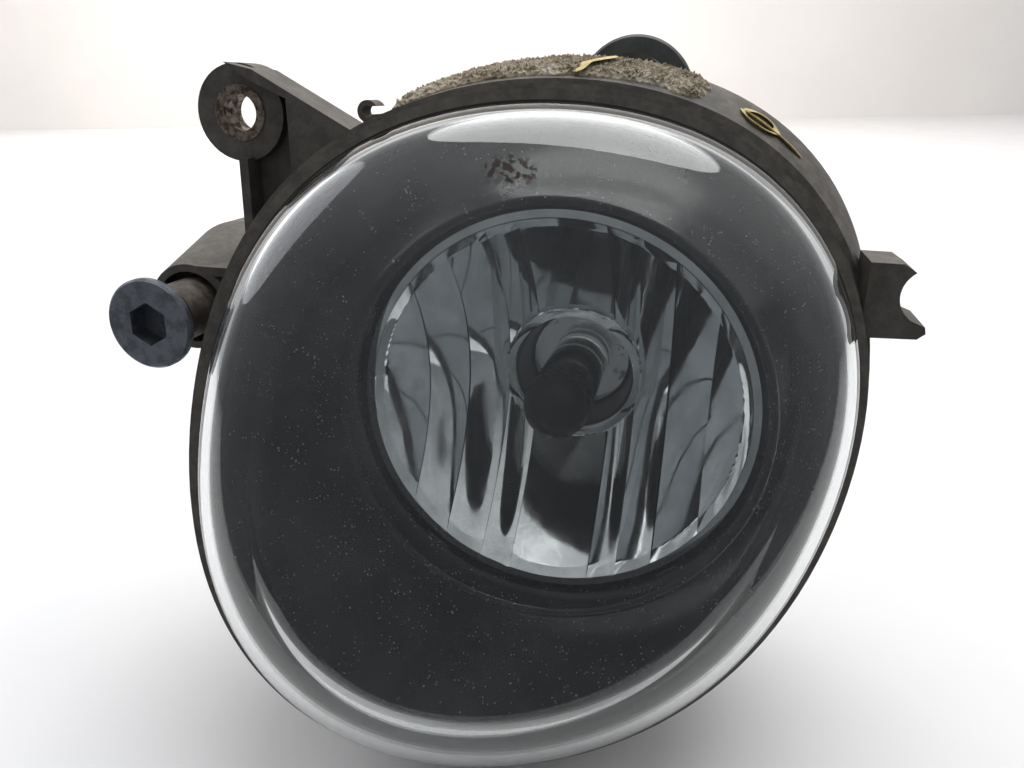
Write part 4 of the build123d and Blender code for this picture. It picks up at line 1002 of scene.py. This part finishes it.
class FOGLAMP_OT_stage(bpy.types.Operator):
    """Builds the table, wall, lights and camera"""

    bl_idname = "fog_lamp.stage"
    bl_label = "Stage"

    def execute(self, context):
        sizes, _ = settings()
        right = np.array(CAMERA_RIGHT)
        level = np.array([0.0, 0.0, 1.0]) - TABLE_LEAN * right
        level /= np.linalg.norm(level)
        away = np.cross(level, right)
        away /= np.linalg.norm(away)
        aside = np.cross(away, level)
        corners = np.array(
            [
                np.array(part.matrix_world @ Vector(corner))
                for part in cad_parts.values()
                for corner in part.bound_box
            ]
        )
        lowest = float(((corners - FOCUS) @ level).min() / MM) - TABLE_GAP
        u, v = np.meshgrid(
            np.linspace(-TABLE_HALF_WIDTH, TABLE_HALF_WIDTH, 41), np.linspace(-TABLE_FRONT, TABLE_BACK, 41),
            indexing="ij",
        )
        table_points = lowest * level + u[..., None] * aside + v[..., None] * away
        floor = surface("stage_table", [(table_points, False, False, tuple(level))])
        material, tree, place, shader = finish_base("matt_laminate_table")
        mottle = add(
            tree, "ShaderNodeTexNoise", inputs={"Scale": per_metre(60), "Detail": 4.0}, links={"Vector": place},
        )
        colour = add(
            tree, "ShaderNodeValToRGB", links={"Fac": mottle.outputs["Fac"]},
            stops=[(0.3, "#e6e6e7"), (0.7, "#ebebeb")],
        )
        tree.links.new(colour.outputs["Color"], shader.inputs["Base Color"])
        shader.inputs["Roughness"].default_value = 0.55
        floor.data.materials.append(material)
        u, v = np.meshgrid(
            np.linspace(-TABLE_HALF_WIDTH, TABLE_HALF_WIDTH, 41), np.linspace(0, WALL_HEIGHT, 31),
            indexing="ij",
        )
        wall_points = lowest * level + (TABLE_BACK - 5) * away + u[..., None] * aside + v[..., None] * level
        wall = surface("stage_wall", [(wall_points, False, False, tuple(-away))])
        material, tree, place, shader = finish_base("painted_wall")
        mottle = add(
            tree, "ShaderNodeTexNoise", inputs={"Scale": per_metre(300), "Detail": 5.0},
            links={"Vector": place},
        )
        colour = add(
            tree, "ShaderNodeValToRGB", links={"Fac": mottle.outputs["Fac"]},
            stops=[(0.3, "#efece9"), (0.7, "#f4f1ee")],
        )
        tree.links.new(colour.outputs["Color"], shader.inputs["Base Color"])
        shader.inputs["Roughness"].default_value = 0.8
        wall.data.materials.append(material)

        world = bpy.data.worlds.new("soft_room")
        bpy.context.scene.world = world
        world.use_nodes = True
        sky = world.node_tree
        sky.nodes.clear()
        direction = add(sky, "ShaderNodeTexCoord")
        ahead = add(
            sky, "ShaderNodeVectorMath", settings={"operation": "DOT_PRODUCT"},
            inputs={1: tuple(ROOM_BRIGHT_SIDE)}, links={0: direction.outputs["Generated"]},
        )
        height = add(
            sky, "ShaderNodeMapRange", inputs={"From Min": -0.9, "From Max": 0.9},
            links={"Value": ahead.outputs["Value"]},
        )
        shade = add(
            sky, "ShaderNodeValToRGB", links={"Fac": height.outputs["Result"]},
            stops=[(0.0, "#6b6e72"), (0.42, "#a6a9ad"), (0.62, "#c0c1c3"), (0.85, "#f2f3f5")],
        )
        glow = add(
            sky, "ShaderNodeBackground", inputs={"Strength": 0.8}, links={"Color": shade.outputs["Color"]},
        )
        add(sky, "ShaderNodeOutputWorld", links={"Surface": glow.outputs["Background"]})

        lights = (
            ("overhead_softbox", (100, 350, 1400), (0, 0, 0), (1.6, 1.3), sizes.light_power, "#ffffff"),
            ("left_window", (-1500, 100, 900), (-20, 0, 0), (1.3, 1.3), sizes.light_power * 0.3, "#f6f8ff"),
            (
                "wall_wash", (-900, 1200, 1500), (-900, 3100, 300), (2.4, 0.8), sizes.light_power * 2.6,
                "#fff9f4",
            ),
        )
        for name, place, target, size, power, tint in lights:
            data = bpy.data.lights.new(name, "AREA")
            data.shape = "ELLIPSE"
            data.size, data.size_y = size
            data.energy = power
            data.color = linear(tint)[:3]
            lamp = bpy.data.objects.new(name, data)
            bpy.context.scene.collection.objects.link(lamp)
            lamp.location = to_frame(place)
            aim = Vector(to_frame(target)) - lamp.location
            lamp.rotation_mode = "QUATERNION"
            lamp.rotation_quaternion = aim.to_track_quat("-Z", "Y")

        data = bpy.data.cameras.new("camera")
        data.sensor_width = 36.0
        data.lens = CAMERA_LENS
        data.clip_start, data.clip_end = 0.005, 60.0
        camera = bpy.data.objects.new("camera", data)
        bpy.context.scene.collection.objects.link(camera)
        backward = [-c for c in CAMERA_FORWARD]
        columns = (CAMERA_RIGHT, CAMERA_UP, backward, to_frame(CAMERA_PLACE))
        camera.matrix_world = Matrix([[c[row] for c in columns] for row in range(3)] + [[0, 0, 0, 1]])
        bpy.context.scene.camera = camera
        bpy.context.scene.view_settings.view_transform = "Standard"
        return {"FINISHED"}


BUILDERS = (
    FOGLAMP_OT_lens,
    FOGLAMP_OT_bezel,
    FOGLAMP_OT_reflector,
    FOGLAMP_OT_bulb,
    FOGLAMP_OT_foam,
    FOGLAMP_OT_marks,
    FOGLAMP_OT_boot,
    FOGLAMP_OT_frame_finishes,
    FOGLAMP_OT_stage,
)


class FOGLAMP_PT_pieces(bpy.types.Panel):
    """Sizes, colours and builders of the fog lamp"""

    bl_idname = "FOGLAMP_PT_pieces"
    bl_label = "Fog Lamp"
    bl_space_type = "VIEW_3D"
    bl_region_type = "UI"
    bl_category = "Fog Lamp"

    def draw(self, context):
        for group in settings():
            for key in group.__annotations__:
                self.layout.prop(group, key)
        for builder in BUILDERS:
            self.layout.operator(builder.bl_idname)


CLASSES = (FogLampColours, FogLampSizes, *BUILDERS, FOGLAMP_PT_pieces)


def register():
    for item in CLASSES:
        bpy.utils.register_class(item)
    bpy.types.Scene.fog_lamp_colours = bpy.props.PointerProperty(type=FogLampColours)
    bpy.types.Scene.fog_lamp_sizes = bpy.props.PointerProperty(type=FogLampSizes)


def unregister():
    del bpy.types.Scene.fog_lamp_sizes
    del bpy.types.Scene.fog_lamp_colours
    for item in reversed(CLASSES):
        bpy.utils.unregister_class(item)


def main():
    register()
    for builder in BUILDERS:
        group, name = builder.bl_idname.split(".")
        getattr(getattr(bpy.ops, group), name)()


if __name__ == "__main__":
    main()
